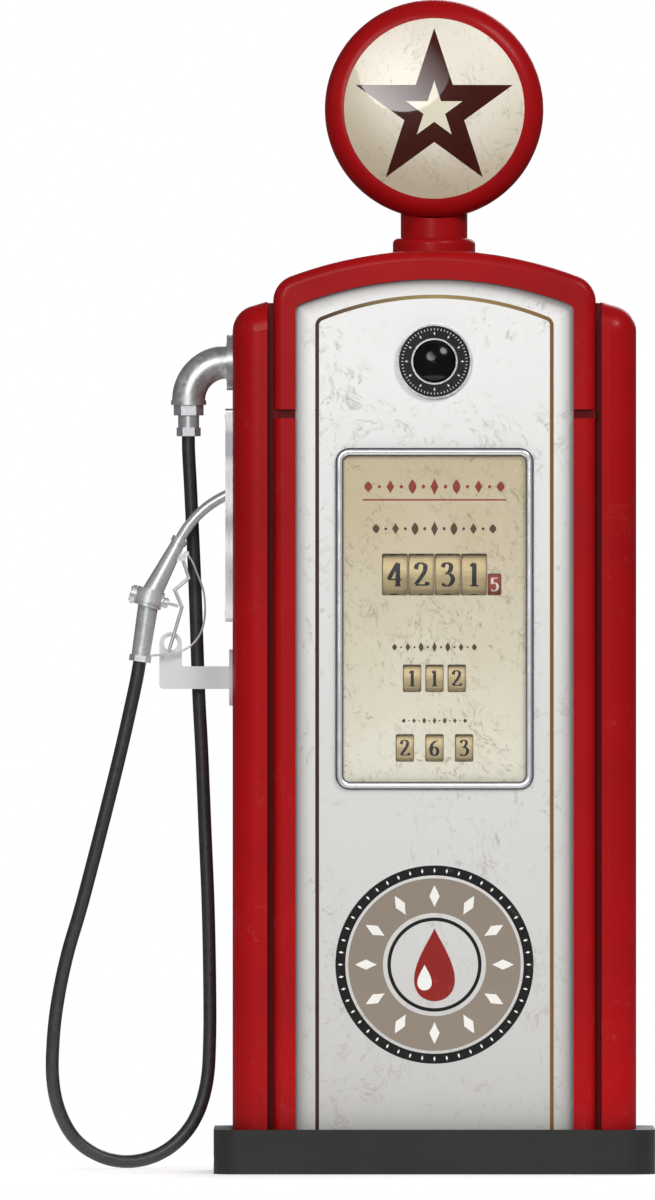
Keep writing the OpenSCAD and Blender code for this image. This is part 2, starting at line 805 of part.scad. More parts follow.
// Flat glass in the panel's window opening
module dial_glass() {
  color("#cfe3e8", 0.35) slab_y(-panel_front, -panel_front + glass_t) translate([0, dial_z])
    rounded_rect(dial_w - 2 * (bezel_w - glass_lap), dial_h - 2 * (bezel_w - glass_lap),
                 dial_r - bezel_w + glass_lap - 0.5);
}

// Printed dial plate behind the glass, with a window for each drum
module dial_plate() {
  color("#dccfae") slab_y(-panel_back, -panel_back + dial_plate_t) difference() {
    translate([0, dial_z]) rounded_rect(dial_w - 4, dial_h - 4, dial_r - 2);
    for (x = sale_x)
      translate([x, sale_axis[1]]) square(window_sale, center = true);
    translate([tenths_x, sale_axis[1] - tenths_drop]) square(window_tenths, center = true);
    for (x = small_x(volume_pitch))
      translate([x, volume_axis[1]]) square(window_small, center = true);
    for (x = small_x(price_pitch))
      translate([x, price_axis[1]]) square(window_small, center = true);
  }
}

// Sight glass

module sight_flange() {
  color("#1b1b1c") translate([0, -panel_front, outlet_z]) turn_y()
    translate([sight_lens_r + sight_ring_w + seat_gap, 0])
      square([sight_r - 2 * sight_ring_w - sight_lens_r - 2 * seat_gap, 5]);
}

// Outer and inner retaining rings
module sight_rings() {
  color("#c9cccf") translate([0, -panel_front, outlet_z]) turn_y() {
    translate([sight_r - sight_ring_w, 0]) square([sight_ring_w, 8]);
    translate([sight_lens_r + seat_gap, 0]) square([sight_ring_w - seat_gap, 9]);
  }
}

// Domed glass
module sight_lens() {
  ball_r = (pow(sight_lens_r, 2) + pow(sight_bulge - 3, 2)) / (2 * (sight_bulge - 3));
  color("#101214") translate([0, -panel_front, outlet_z]) turn_y() {
    square([sight_lens_r, 3]);
    intersection() {
      translate([0, sight_bulge - ball_r]) circle(ball_r);
      translate([0, 3]) square([sight_lens_r, sight_bulge]);
    }
  }
}

// Housing behind the sight glass, with a pipe socket to the left and to the right
module sight_body() {
  body_r = sight_boss_r;
  depth = panel_front + outlet_y + sight_boss_r;
  color("#7d8184") translate([0, -panel_front, outlet_z]) difference() {
    union() {
      bar_y(0, depth, 0, 0, body_r);
      bar_y(panel_t, panel_t + 10, 0, 0, body_r + 14);
      bar_x(-sight_tee_l, sight_tee_l, panel_front + outlet_y, 0, pipe_d / 2 + 8);
    }
    bar_y(-cut, depth - 8, 0, 0, sight_lens_r - 6);
    bar_x(-sight_tee_l - cut, sight_tee_l + cut, panel_front + outlet_y, 0, pipe_d / 2 - pipe_wall);
  }
}

// Register

// Two side plates on the shelf, and the rods that tie them
module register_frame() {
  foot = register_shelf_z + shelf_t;
  rods = [[price_axis[0], foot + tie_rod_r + 2], [register_rear - 20, register_top - 20],
          [-register_front + 20, register_top - 20]];
  color("#8b8f92") {
    for (s = [-1, 1])
      slab_x(s < 0 ? -register_half_w - register_plate_t : register_half_w,
             s < 0 ? -register_half_w : register_half_w + register_plate_t) difference() {
        union() {
          translate([-post_in + 5, foot]) square([register_rear + post_in - 5, register_top - foot]);
          translate([-register_front, foot + 12])
            square([register_front - post_in + 5 + cut, register_top - foot - 12]);
        }
        for (a = counter_axes)
          translate(a) circle(counter_shaft_r + run_gap);
      }
    for (p = rods)
      bar_x(-register_half_w, register_half_w, p[0], p[1], tie_rod_r);
  }
}

// The three shafts that carry the drums
module counter_shafts() {
  color("#a9adb0") for (a = counter_axes)
    bar_x(-register_half_w - 10, register_half_w + 10, a[0], a[1], counter_shaft_r);
}

// A number drum on its axis: rim, web and hub
module number_wheel(axis, x, r, rim_w, hub_l) {
  translate([x, axis[0], axis[1]]) turn_x() {
    translate([r - wheel_rim_t, -rim_w / 2]) square([wheel_rim_t, rim_w]);
    translate([wheel_hub_r, -wheel_web_t / 2]) square([r - wheel_rim_t - wheel_hub_r, wheel_web_t]);
    translate([counter_shaft_r + run_gap, -hub_l / 2])
      square([wheel_hub_r - counter_shaft_r - run_gap, hub_l]);
  }
}

module sale_wheel(i) {
  color("#b8995c") number_wheel(sale_axis, sale_x[i], sale_wheel_r, sale_rim_w, sale_pitch - hub_gap);
}

module sale_wheel_1() {
  sale_wheel(0);
}

module sale_wheel_2() {
  sale_wheel(1);
}

module sale_wheel_3() {
  sale_wheel(2);
}

module sale_wheel_4() {
  sale_wheel(3);
}

module sale_wheel_tenths() {
  color("#a03a30") number_wheel(sale_axis, tenths_x, sale_wheel_r, tenths_rim_w, tenths_rim_w + 1);
}

module volume_wheel(i) {
  color("#b8995c")
    number_wheel(volume_axis, small_x(volume_pitch)[i], small_wheel_r, small_rim_w, volume_pitch - hub_gap);
}

module volume_wheel_1() {
  volume_wheel(0);
}

module volume_wheel_2() {
  volume_wheel(1);
}

module volume_wheel_3() {
  volume_wheel(2);
}

module price_wheel(i) {
  color("#b8995c")
    number_wheel(price_axis, small_x(price_pitch)[i], small_wheel_r, small_rim_w, price_pitch - hub_gap);
}

module price_wheel_1() {
  price_wheel(0);
}

module price_wheel_2() {
  price_wheel(1);
}

module price_wheel_3() {
  price_wheel(2);
}

// Case of the price gearing, on the register shelf, with a socket for the drive shaft
module gear_case() {
  foot = register_shelf_z + shelf_t;
  color("#5e6366") difference() {
    block([-case_half_w, case_front, foot], [case_half_w, case_rear, case_top]);
    bar_z(foot - cut, foot + 20, 0, outlet_y, drive_shaft_r + run_gap);
  }
}

// Upright shaft from the meter to the gear case, with a coupling at its lower end
module register_drive_shaft() {
  color("#a9adb0") {
    bar_z(meter_top - 18, register_shelf_z + shelf_t + 18, 0, outlet_y, drive_shaft_r);
    bar_z(meter_top + 8, meter_top + 40, 0, outlet_y, 1.8 * drive_shaft_r);
  }
}

// Liquid end

// Four-cylinder meter: crankcase, cylinders at the diagonals with bolted covers, two ports, a gear tower
module meter() {
  cylinder_r = 34;
  port_r = pipe_d / 2 + 6;
  reach = meter_r + 38;
  color("#75797c") translate([0, outlet_y, 0]) difference() {
    union() {
      bar_z(meter_z, meter_port_z + 48, 0, 0, meter_r);
      bar_z(meter_port_z + 48, meter_port_z + 76, 0, 0, meter_r - 28);
      bar_z(meter_port_z + 76, meter_top, 0, 0, 30);
      for (a = [45:90:315])
        rotate(a) {
          bar_x(meter_r - 30, reach, 0, meter_port_z, cylinder_r);
          bar_x(reach, reach + 14, 0, meter_port_z, cylinder_r + 8);
        }
      for (s = [0, 1])
        mirror([s, 0, 0]) bar_x(meter_r - 13, meter_port_x, 0, meter_port_z, port_r);
    }
    bar_z(meter_top - 20, meter_top + cut, 0, 0, drive_shaft_r + run_gap);
  }
}

// Pumping unit: rotor housing on a foot, an air separator behind it, and the shaft for its pulley
module pump_unit() {
  case_y = pulley_y - 20;
  rear_bearing = case_y - 30;
  color("#4d5457") {
    difference() {
      union() {
        block([pump_x - 75, outlet_y - 30, base_h], [pump_x + 75, rear_bearing, base_h + 14]);
        block([pump_x - 45, outlet_y - 20, base_h], [pump_x + 45, rear_bearing, pump_z]);
        bar_y(outlet_y - 35, rear_bearing, pump_x, pump_z, 68);
        bar_y(rear_bearing, case_y, pump_x, pump_z, 30);
        bar_z(pump_z, pump_z + 100, delivery_x, outlet_y, pipe_d / 2 + 8);
      }
      bar_z(pump_z + 60, pump_z + 101, delivery_x, outlet_y, pipe_d / 2 - pipe_wall);
      bar_y(case_y - 40, case_y + cut, pump_x, pump_z, rotor_shaft_r + run_gap);
    }
    block([pump_x - 50, outlet_y + 60, pump_z + 60], [pump_x + 60, rear_bearing, pump_z + 130]);
  }
}

// Electric motor with end bells and feet; the rear bell is bored for the shaft
module motor() {
  rear = pulley_y - 20;
  front = rear - motor_l;
  color("#3d4447") difference() {
    union() {
      bar_y(front + 20, rear - 25, motor_x, motor_z, motor_d / 2);
      bar_y(front, rear - 8, motor_x, motor_z, motor_d / 2 - 10);
      bar_y(rear - 8, rear, motor_x, motor_z, 30);
      for (s = [-1, 1])
        block([motor_x + s * 55 - 22, front + 35, base_h], [motor_x + s * 55 + 22, rear - 40, motor_z - 30]);
      block([motor_x - 40, front + 50, motor_z + motor_d / 2 - 20],
            [motor_x + 40, rear - 60, motor_z + motor_d / 2 + 25]);
    }
    bar_y(rear - 60, rear + cut, motor_x, motor_z, rotor_shaft_r + run_gap);
  }
}

// A grooved pulley with the shaft it turns on
module grooved_pulley(x, z, pitch_r, shaft_in) {
  out_r = pitch_r + belt_h / 2;
  groove_r = pitch_r - belt_h / 2 - groove_gap;
  groove_w = belt_w + 1;
  side_w = (pulley_w - groove_w) / 2;
  difference() {
    bar_y(pulley_y, pulley_y + pulley_w, x, z, out_r);
    difference() {
      bar_y(pulley_y + side_w, pulley_y + pulley_w - side_w, x, z, out_r + cut);
      bar_y(pulley_y, pulley_y + pulley_w, x, z, groove_r);
    }
  }
  bar_y(pulley_y - 20 - shaft_in, pulley_y + pulley_w + 4, x, z, rotor_shaft_r);
}

module pump_pulley() {
  color("#6b7072") grooved_pulley(pump_x, pump_z, pump_pulley_r, 38);
}

module motor_pulley() {
  color("#6b7072") grooved_pulley(motor_x, motor_z, motor_pulley_r, 55);
}

// Outline of a belt round both pulleys, at a distance from the pitch line: an arc on each, in short steps
module belt_outline(off) {
  a = [pump_x, pump_z];
  b = [motor_x, motor_z];
  steps = 40;
  heading = atan2(b[1] - a[1], b[0] - a[0]);
  open = acos((pump_pulley_r - motor_pulley_r) / norm(b - a));
  far_arc = [for (k = [0:steps])
    let (t = heading + open + (360 - 2 * open) * k / steps) a + (pump_pulley_r + off) * [cos(t), sin(t)]];
  near_arc = [for (k = [0:steps])
    let (t = heading - open + 2 * open * k / steps) b + (motor_pulley_r + off) * [cos(t), sin(t)]];
  polygon(concat(far_arc, near_arc));
}

module drive_belt() {
  mid = pulley_y + pulley_w / 2;
  color("#232324") slab_y(mid - belt_w / 2, mid + belt_w / 2) difference() {
    belt_outline(belt_h / 2);
    belt_outline(-belt_h / 2);
  }
}

// A quarter bend of pipe about a middle point, in x and z, at the outlet's depth
module pipe_bend(x, z, start) {
  translate([x, outlet_y, z]) turn_y(90, start) translate([bend_r, 0]) pipe_ring();
}

module pipe_ring() {
  difference() {
    circle(pipe_d / 2);
    circle(pipe_d / 2 - pipe_wall);
  }
}

module pipe_up(low, high, x) {
  translate([x, outlet_y, 0]) slab_z(low, high) pipe_ring();
}

module pipe_across(left, right, z) {
  translate([0, outlet_y, z]) slab_x(left, right) pipe_ring();
}

// Pipes: suction stub, pump to meter, meter to sight glass, sight glass to outlet
module pipework() {
  color("#8a7a68") {
    pipe_up(base_h - base_wall - suction_l, base_h, pump_x);
    pipe_up(pump_z + 100, meter_port_z - bend_r, delivery_x);
    pipe_bend(delivery_x + bend_r, meter_port_z - bend_r, 90);
    pipe_across(delivery_x + bend_r, -meter_port_x, meter_port_z);
    pipe_across(meter_port_x, riser_x - bend_r, meter_port_z);
    pipe_bend(riser_x - bend_r, meter_port_z + bend_r, 270);
    pipe_up(meter_port_z + bend_r, outlet_z - bend_r, riser_x);
    pipe_bend(riser_x - bend_r, outlet_z - bend_r, 0);
    pipe_across(sight_tee_l, riser_x - bend_r, outlet_z);
    pipe_across(-side_x, -sight_tee_l, outlet_z);
  }
}

// Hose outlet

module outlet_flange() {
  color("#a6a9ac") difference() {
    bar_x(-side_x - flange_t, -side_x, outlet_y, outlet_z, flange_d / 2);
    bar_x(-side_x - flange_t - cut, -side_x + cut, outlet_y, outlet_z, pipe_d / 2 - pipe_wall);
  }
}

elbow_x = -side_x - flange_t - elbow_r;
elbow_foot = outlet_z - elbow_r;
bead_h = 9;
nut_h = 20;
swivel_h = 23;
ferrule_h = elbow_foot - bead_h - nut_h - swivel_h - hose_route[0][2];

// Cast elbow from the flange down to the hose coupling, with a bead at its mouth
module outlet_elbow() {
  color("#6f7376") {
    translate([-side_x - flange_t, outlet_y, elbow_foot]) turn_y(90, 90) translate([elbow_r, 0])
    difference() {
      circle(elbow_d / 2);
      circle(pipe_d / 2 - pipe_wall);
    }
    translate([elbow_x, outlet_y, 0]) slab_z(elbow_foot - bead_h, elbow_foot) difference() {
      circle(elbow_d / 2 + 2);
      circle(pipe_d / 2 - pipe_wall);
    }
  }
}

// Hose coupling: a nut, a swivel neck and a ferrule nut
module hose_coupling() {
  top = elbow_foot - bead_h;
  color("#b4b7b9") translate([elbow_x, outlet_y, 0]) {
    translate([0, 0, top - nut_h]) cylinder(d = 57, h = nut_h, $fn = 6);
    bar_z(top - nut_h - swivel_h, top - nut_h, 0, 0, 20);
    translate([0, 0, top - nut_h - swivel_h - ferrule_h]) cylinder(d = 46, h = ferrule_h, $fn = 6);
  }
}

// Rubber hose, hanging in one loop
module hose() {
  tail = nozzle_valve - nozzle_tail;
  color("#2c2c2c")
    tube_along(smooth_line(hose_route, 2), hose_d / 2, 12, [0, 0, -1], unit([tail[0], 0, tail[1]]));
}

// Nozzle

// Boot: a plate on the side panel and a cup that takes the spout
module nozzle_boot() {
  low = boot_z - 247;
  color("#9b9ea1") difference() {
    union() {
      slab_x(-side_x - boot_t, -side_x)
        translate([nozzle_y, low + boot_h / 2]) rounded_rect(boot_w, boot_h, 6);
      bar_x(-side_x - cut, -side_x + cup_depth, nozzle_y, boot_z + cup_rise, cup_r + cup_wall);
    }
    bar_x(-side_x - boot_t - cut, -side_x + cup_depth - cup_wall, nozzle_y, boot_z + cup_rise, cup_r);
  }
}

upper_axis = unit(nozzle_collar - nozzle_valve);
lower_axis = unit(nozzle_valve - nozzle_tail);
spout_lean = atan2(upper_axis[1], upper_axis[0]);
stem_axis = [cos(stem_tilt), sin(stem_tilt)];
valve_axis = [-stem_axis[1], stem_axis[0]];
tail_nut_h = 11;
gland_end = 38;
gland_collar_r = 16.5;
valve_cap_end = 38;
valve_cap_r = 18.5;
stem_end = 57.8;

// Nozzle body: barrels above and below the valve chamber, a cap, a gland and ears for the trigger
module nozzle_body() {
  tail_top = nozzle_tail + tail_nut_h * lower_axis;
  ear_in = nozzle_collar - 40 * upper_axis;
  boss_side = unit([guard_boss[1] - trigger_pivot[1], trigger_pivot[0] - guard_boss[0]]);
  ear_inside = trigger_d / 2 + ear_gap + cut;
  color("#c3c7c9") at_nozzle() {
    difference() {
      union() {
        rod(nozzle_valve, nozzle_collar - 10 * upper_axis, 20.5, 13);
        rod(nozzle_collar - 11 * upper_axis, nozzle_collar, 15.5, 15.5);
        rod(nozzle_valve - 17 * valve_axis, nozzle_valve + 17 * valve_axis, 26, 26);
        rod(nozzle_valve - 10 * valve_axis, nozzle_valve + 10 * valve_axis, 29, 29);
        rod(nozzle_valve, tail_top, 19.5, 17.5);
        rod(nozzle_valve, nozzle_valve - valve_cap_end * stem_axis, valve_cap_r - 4, valve_cap_r - 4);
        rod(nozzle_valve - (valve_cap_end - 11) * stem_axis, nozzle_valve - (valve_cap_end - 3) * stem_axis,
            valve_cap_r, valve_cap_r);
        rod(nozzle_valve, nozzle_valve + (gland_end - 11) * stem_axis, gland_collar_r, gland_collar_r);
        rod(nozzle_valve, nozzle_valve + gland_end * stem_axis, 9, 9);
        rod(nozzle_valve + (gland_end - 7) * stem_axis, nozzle_valve + (gland_end - 3) * stem_axis, 11, 11);
        translate([nozzle_tail[0], 0, nozzle_tail[1]])
          rotate([0, atan2(lower_axis[0], lower_axis[1]), 0]) cylinder(d = 42, h = tail_nut_h + 1, $fn = 6);
        for (s = [0, 1])
          mirror([0, s, 0]) slab_y(trigger_d / 2 + ear_gap, trigger_d / 2 + ear_gap + ear_t) {
            translate(trigger_pivot) circle(7);
            polygon([trigger_pivot + 6.5 * upper_axis, ear_in + 12 * upper_axis, ear_in - 10 * upper_axis,
                     trigger_pivot - 6.5 * upper_axis]);
            translate(guard_boss) circle(guard_boss_r + 1);
            polygon([guard_boss + 4 * boss_side, guard_boss - 4 * boss_side, trigger_pivot - 5 * boss_side,
                     trigger_pivot + 5 * boss_side]);
          }
      }
      rod(nozzle_valve + 8 * stem_axis, nozzle_valve + (gland_end + cut) * stem_axis,
          stem_r + run_gap, stem_r + run_gap);
    }
    bar_y(-ear_inside, ear_inside, trigger_pivot[0], trigger_pivot[1], pivot_pin_r);
    bar_y(-ear_inside, ear_inside, guard_boss[0], guard_boss[1], guard_boss_r);
  }
}

// Curved spout, reaching into the boot's cup
module nozzle_spout() {
  middle = nozzle_collar + spout_bend_r * [upper_axis[1], -upper_axis[0]];
  color("#b2b6b8") at_nozzle() translate([middle[0], 0, middle[1]])
    turn_y(spout_turn, spout_lean + 90 - spout_turn) translate([spout_bend_r, 0]) difference() {
      circle(spout_d / 2);
      circle(spout_d / 2 - spout_wall);
    }
}

// Trigger: a cranked rod with an eye at its pivot
module nozzle_trigger() {
  r = trigger_d / 2;
  start = trigger_pivot + (pivot_pin_r + 0.9) * unit(trigger_route[1] - trigger_pivot);
  color("#b9bdbf") at_nozzle() {
    for (i = [0:len(trigger_route) - 2]) {
      rod(i == 0 ? start : trigger_route[i], trigger_route[i + 1], r, r);
      translate([trigger_route[i + 1][0], 0, trigger_route[i + 1][1]]) sphere(r = 1.06 * r, $fn = 48);
    }
    slab_y(-r, r) difference() {
      translate(trigger_pivot) circle(trigger_eye_r);
      translate(trigger_pivot) circle(pivot_pin_r + run_gap);
    }
  }
}

// Wire guard round the trigger
module trigger_guard() {
  line = smooth_line([for (p = guard_route) [p[0], 0, p[1]]], 3);
  color("#b9bdbf") at_nozzle() tube_along(line, guard_d / 2, 10);
}

// Valve stem that the trigger pushes in
module valve_stem() {
  color("#9da1a3") at_nozzle()
    rod(nozzle_valve + 24 * stem_axis, nozzle_valve + stem_end * stem_axis, stem_r, stem_r);
}

// Switch lever: a disc on the side panel, a flat bar out and up to a padlock eye, and the shaft
lever_out = 118;
lever_rise = 65;
lever_disc_d = 107;
lever_disc_t = 6.5;

module switch_lever() {
  half = lever_bar_w / 2;
  color("#bcbec0") translate([-side_x, lever_y, lever_z]) {
    bar_x(-lever_disc_t - seat_gap, -seat_gap, 0, 0, lever_disc_d / 2);
    difference() {
      slab_y(-lever_t / 2, lever_t / 2) {
        translate([-lever_out - half + 8, -half]) square([lever_out + half - 8 - lever_disc_t, lever_bar_w]);
        translate([-lever_out - half, -half + 8]) square([lever_bar_w, lever_rise + half - 8]);
        translate([-lever_out - half + 8, -half + 8]) circle(8);
        translate([-lever_out, lever_rise]) circle(half);
      }
      bar_y(-lever_t, lever_t, -lever_out, lever_rise, lever_eye_d / 2);
    }
    bar_x(-1, side_x - core_in + 40, 0, 0, rotor_shaft_r);
  }
}

// Switch box on the inside of the left core wall
module switch_box() {
  color("#6a6e71") difference() {
    block([-core_in, lever_y - 50, lever_z - 55], [-core_in + 62, lever_y + 50, lever_z + 55]);
    bar_x(-core_in - cut, -core_in + 44, lever_y, lever_z, rotor_shaft_r + run_gap);
  }
}

// Globe

neck_top = globe_z - globe_r + 14;
collar_edge_r = 11;

// Neck and collar, saddled on the hood below and on the globe's band above
module globe_neck() {
  color("#b3181c") difference() {
    union() {
      bar_z(crown_z - 20, crown_z + collar_h - collar_edge_r, 0, 0, collar_d / 2);
      translate([0, 0, crown_z + collar_h - collar_edge_r]) rotate_extrude() {
        square([collar_d / 2 - collar_edge_r, collar_edge_r]);
        translate([collar_d / 2 - collar_edge_r, 0]) quarter(collar_edge_r);
      }
      bar_z(crown_z, neck_top, 0, 0, neck_d / 2);
    }
    bar_z(crown_z - 21, neck_top + cut, 0, 0, neck_d / 2 - 12);
    bar_y(-body_d, body_d, 0, crown_z - hood_arch_r, hood_arch_r + seat_gap, $fn = arc_fn);
    bar_y(-body_d, body_d, 0, globe_z, globe_r + seat_gap, $fn = arc_fn);
  }
}

// Section of the globe's body: a band with rounded shoulders that end at the lenses
module globe_section(inset) {
  r = globe_edge_r - inset;
  half = globe_depth / 2;
  difference() {
    translate([0, -half + inset]) square([globe_r - inset, 2 * (half - inset)]);
    for (s = [0, 1])
      mirror([0, s]) translate([globe_r - globe_edge_r, half - globe_edge_r]) difference() {
        square(globe_edge_r + cut);
        circle(r);
      }
  }
}

// Globe body: a hollow ring with lens seats front and rear and a wiring hole below
module globe_body() {
  color("#b3181c") difference() {
    translate([0, 0, globe_z]) turn_y(fn = arc_fn) difference() {
      globe_section(0);
      globe_section(globe_wall);
      translate([0, -globe_depth]) square([lens_r - lens_seat, 2 * globe_depth]);
    }
    bar_z(globe_z - globe_r - cut, globe_z - lens_r + cut, 0, 0, 30);
  }
}

// A lens: a thin bulging disc that stands on the edge of the globe's band
module globe_lens() {
  ball_r = (pow(lens_r, 2) + pow(lens_bulge, 2)) / (2 * lens_bulge);
  color("#ece3cc") translate([0, -globe_depth / 2, globe_z]) turn_y(fn = arc_fn) difference() {
    intersection() {
      translate([0, lens_bulge - ball_r]) circle(ball_r, $fn = 720);
      square([lens_r, lens_bulge]);
    }
    translate([0, lens_bulge - ball_r - lens_t]) circle(ball_r, $fn = 720);
  }
}

module front_lens() {
  globe_lens();
}

module rear_lens() {
  mirror([0, 1, 0]) globe_lens();
}

// Lamp holder: a cup through the globe's wiring hole, standing on the hood
module lamp_socket() {
  color("#3a3a3c") {
    bar_z(crown_z, globe_z - 120, 0, 0, 14);
    bar_z(globe_z - 120, globe_z - 60, 0, 0, 22);
  }
}

// Lamp bulb
module lamp_bulb() {
  color("#f4efe0", 0.8) {
    bar_z(globe_z - 60, globe_z - 30, 0, 0, 16);
    translate([0, 0, globe_z + 5]) sphere(38);
  }
}

base_plinth();
frame_posts();
frame_rails();
equipment_shelves();
left_side_panel();
right_side_panel();
core_walls();
hood();
front_panel();
rear_upper_panel();
rear_door();
door_hinges();
door_latch();
dial_bezel();
dial_glass();
dial_plate();
sight_flange();
sight_rings();
sight_lens();
sight_body();
register_frame();
counter_shafts();
gear_case();
register_drive_shaft();
sale_wheel_1();
sale_wheel_2();
sale_wheel_3();
sale_wheel_4();
sale_wheel_tenths();
volume_wheel_1();
volume_wheel_2();
volume_wheel_3();
price_wheel_1();
price_wheel_2();
price_wheel_3();
meter();
pump_unit();
pump_pulley();
motor();
motor_pulley();
drive_belt();
pipework();
outlet_flange();
outlet_elbow();
hose_coupling();
hose();
nozzle_boot();
nozzle_body();
nozzle_spout();
nozzle_trigger();
trigger_guard();
valve_stem();
switch_lever();
switch_box();
globe_neck();
globe_body();
front_lens();
rear_lens();
lamp_socket();
lamp_bulb();
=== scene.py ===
"""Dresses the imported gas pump: hose, drum numerals, dial print, enamel trim and finishes."""
import math
from functools import partial

import bpy
import numpy as np
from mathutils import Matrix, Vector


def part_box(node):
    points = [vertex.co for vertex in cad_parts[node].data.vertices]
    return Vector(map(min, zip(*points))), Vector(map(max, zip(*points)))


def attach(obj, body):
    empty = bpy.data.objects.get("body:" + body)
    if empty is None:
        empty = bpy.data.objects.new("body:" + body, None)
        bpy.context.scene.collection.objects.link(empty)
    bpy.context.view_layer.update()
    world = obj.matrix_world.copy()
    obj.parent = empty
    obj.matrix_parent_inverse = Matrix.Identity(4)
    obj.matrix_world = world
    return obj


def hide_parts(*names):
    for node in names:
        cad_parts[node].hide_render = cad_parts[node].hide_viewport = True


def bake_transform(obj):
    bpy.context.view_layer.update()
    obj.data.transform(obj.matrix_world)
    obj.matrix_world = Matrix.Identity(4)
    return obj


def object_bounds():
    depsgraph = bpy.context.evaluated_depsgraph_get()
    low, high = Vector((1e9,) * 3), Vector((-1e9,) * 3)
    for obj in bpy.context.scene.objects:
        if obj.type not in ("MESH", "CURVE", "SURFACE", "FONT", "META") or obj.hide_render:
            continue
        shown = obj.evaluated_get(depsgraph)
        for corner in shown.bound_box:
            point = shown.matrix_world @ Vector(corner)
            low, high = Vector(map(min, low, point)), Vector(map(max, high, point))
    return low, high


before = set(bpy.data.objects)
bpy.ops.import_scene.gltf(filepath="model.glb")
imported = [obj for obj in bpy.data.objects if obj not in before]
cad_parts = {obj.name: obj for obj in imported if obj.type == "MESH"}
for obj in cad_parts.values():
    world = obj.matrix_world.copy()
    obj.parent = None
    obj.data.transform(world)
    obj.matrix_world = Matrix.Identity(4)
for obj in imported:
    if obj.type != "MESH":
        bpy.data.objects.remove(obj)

CAD_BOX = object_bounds()

bl_info = {
    "name": "Gas Pump Dressing",
    "version": (1, 0, 0),
    "blender": (4, 5, 0),
    "location": "View3D > Sidebar > Gas Pump",
    "description": "Makes the hose, numerals, print, trim and finishes of a gas pump",
    "category": "Object",
}


def linear(code):
    """Linear RGBA of an sRGB hex colour."""
    srgb = np.array([int(code[i:i + 2], 16) for i in (1, 3, 5)]) / 255
    low, high = srgb / 12.92, ((srgb + 0.055) / 1.055) ** 2.4
    return (*np.where(srgb <= 0.04045, low, high).tolist(), 1.0)


def middle(node):
    """Middle of a solid's box."""
    low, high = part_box(node)
    return np.array((low + high) / 2)


def colour(label, about, code):
    """Colour property whose default is a hex code."""
    return bpy.props.FloatVectorProperty(
        name=label, description=about, subtype="COLOR", size=4, min=0, max=1, default=linear(code))


def length(label, about, metres):
    """Length property in metres."""
    return bpy.props.FloatProperty(
        name=label, description=about, unit="LENGTH", min=0, precision=4, default=metres)


class PumpColours(bpy.types.PropertyGroup):
    """Colours that a user would change."""
    red: colour("Red enamel", "Cabinet, hood and globe", "#A91216")
    red_deep: colour("Deep red", "Thicker, older coats of the red enamel", "#871013")
    white: colour("White enamel", "Front and rear panels", "#F8F8F6")
    stain: colour("Stain", "Scratches and crazing in the white enamel", "#A3978A")
    base: colour("Base paint", "Satin paint on the cast base", "#262625")
    dial: colour("Dial", "Lower ground of the dial print", "#E4E0CE")
    dial_aged: colour("Aged dial", "Upper ground of the dial print", "#CBBB97")
    print_red: colour("Red print", "Upper ornament of the dial", "#8E2A22")
    print_brown: colour("Brown print", "Other ornaments of the dial", "#4E3A20")
    brass: colour("Brass", "Number drums", "#CDB888")
    lens: colour("Opal glass", "Globe lenses", "#F6EFDE")
    star: colour("Star", "Printed star on the lenses", "#421409")
    taupe: colour("Taupe", "Broad ring of the medallion", "#8F8376")
    oxide: colour("Oxide red", "Drop of the medallion", "#8C211D")


class PumpSizes(bpy.types.PropertyGroup):
    """Sizes that a user would change."""
    hose_d: length("Hose diameter", "Outside diameter of the hose", 0.025)
    numeral_big: length("Large numeral", "Height of the sale numerals", 0.046)
    numeral_small: length("Small numeral", "Height of the other numerals", 0.031)
    stripe_w: length("Stripe width", "Width of the stripe on the front panel", 0.0072)
    stripe_half: length("Stripe offset", "Stripe's distance from the middle", 0.2225)
    star_r: length("Star radius", "Middle to tip of the large star", 0.157)
    medallion_r: length("Medallion radius", "Outer radius of the medallion", 0.188)
    medallion_z: length("Medallion height", "Height of the medallion's middle", 0.397)


class PumpStage(bpy.types.PropertyGroup):
    """Camera and light."""
    camera_from: length("Camera distance", "Camera to the front of the cabinet", 56.0)
    view_h: length("View height", "Height that the picture takes in", 2.2755)
    world: bpy.props.FloatProperty(
        name="Sky", description="Strength of the surrounding light", default=0.1, min=0)
    key: bpy.props.FloatProperty(
        name="Key", description="Power of the main softbox in watts", default=224, min=0)


# Meshes

def sheet_faces(rows, columns, wrap):
    """Quads of a grid of points, closed across its columns where wrap is true."""
    across = columns if wrap else columns - 1
    i, j = np.meshgrid(np.arange(rows - 1) * columns, np.arange(across), indexing="ij")
    k = (j + 1) % columns
    return np.stack([i + j, i + k, i + columns + k, i + columns + j], -1).reshape(-1, 4)


def make_piece(name, grids, finish, body="cabinet", wrap=False):
    """One mesh from grids of points (rows, columns, 3). A face goes along the columns, then the rows."""
    starts = np.cumsum([0] + [g.shape[0] * g.shape[1] for g in grids[:-1]])
    points = np.concatenate([g.reshape(-1, 3) for g in grids])
    faces = np.concatenate([sheet_faces(g.shape[0], g.shape[1], wrap) + s for g, s in zip(grids, starts)])
    mesh = bpy.data.meshes.new(name)
    mesh.from_pydata(points.tolist(), [], faces.tolist())
    mesh.polygons.foreach_set("use_smooth", np.ones(len(faces), bool))
    mesh.update()
    piece = bpy.data.objects.new(name, mesh)
    bpy.context.scene.collection.objects.link(piece)
    mesh.materials.append(finish)
    if body:
        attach(piece, body)
    return piece


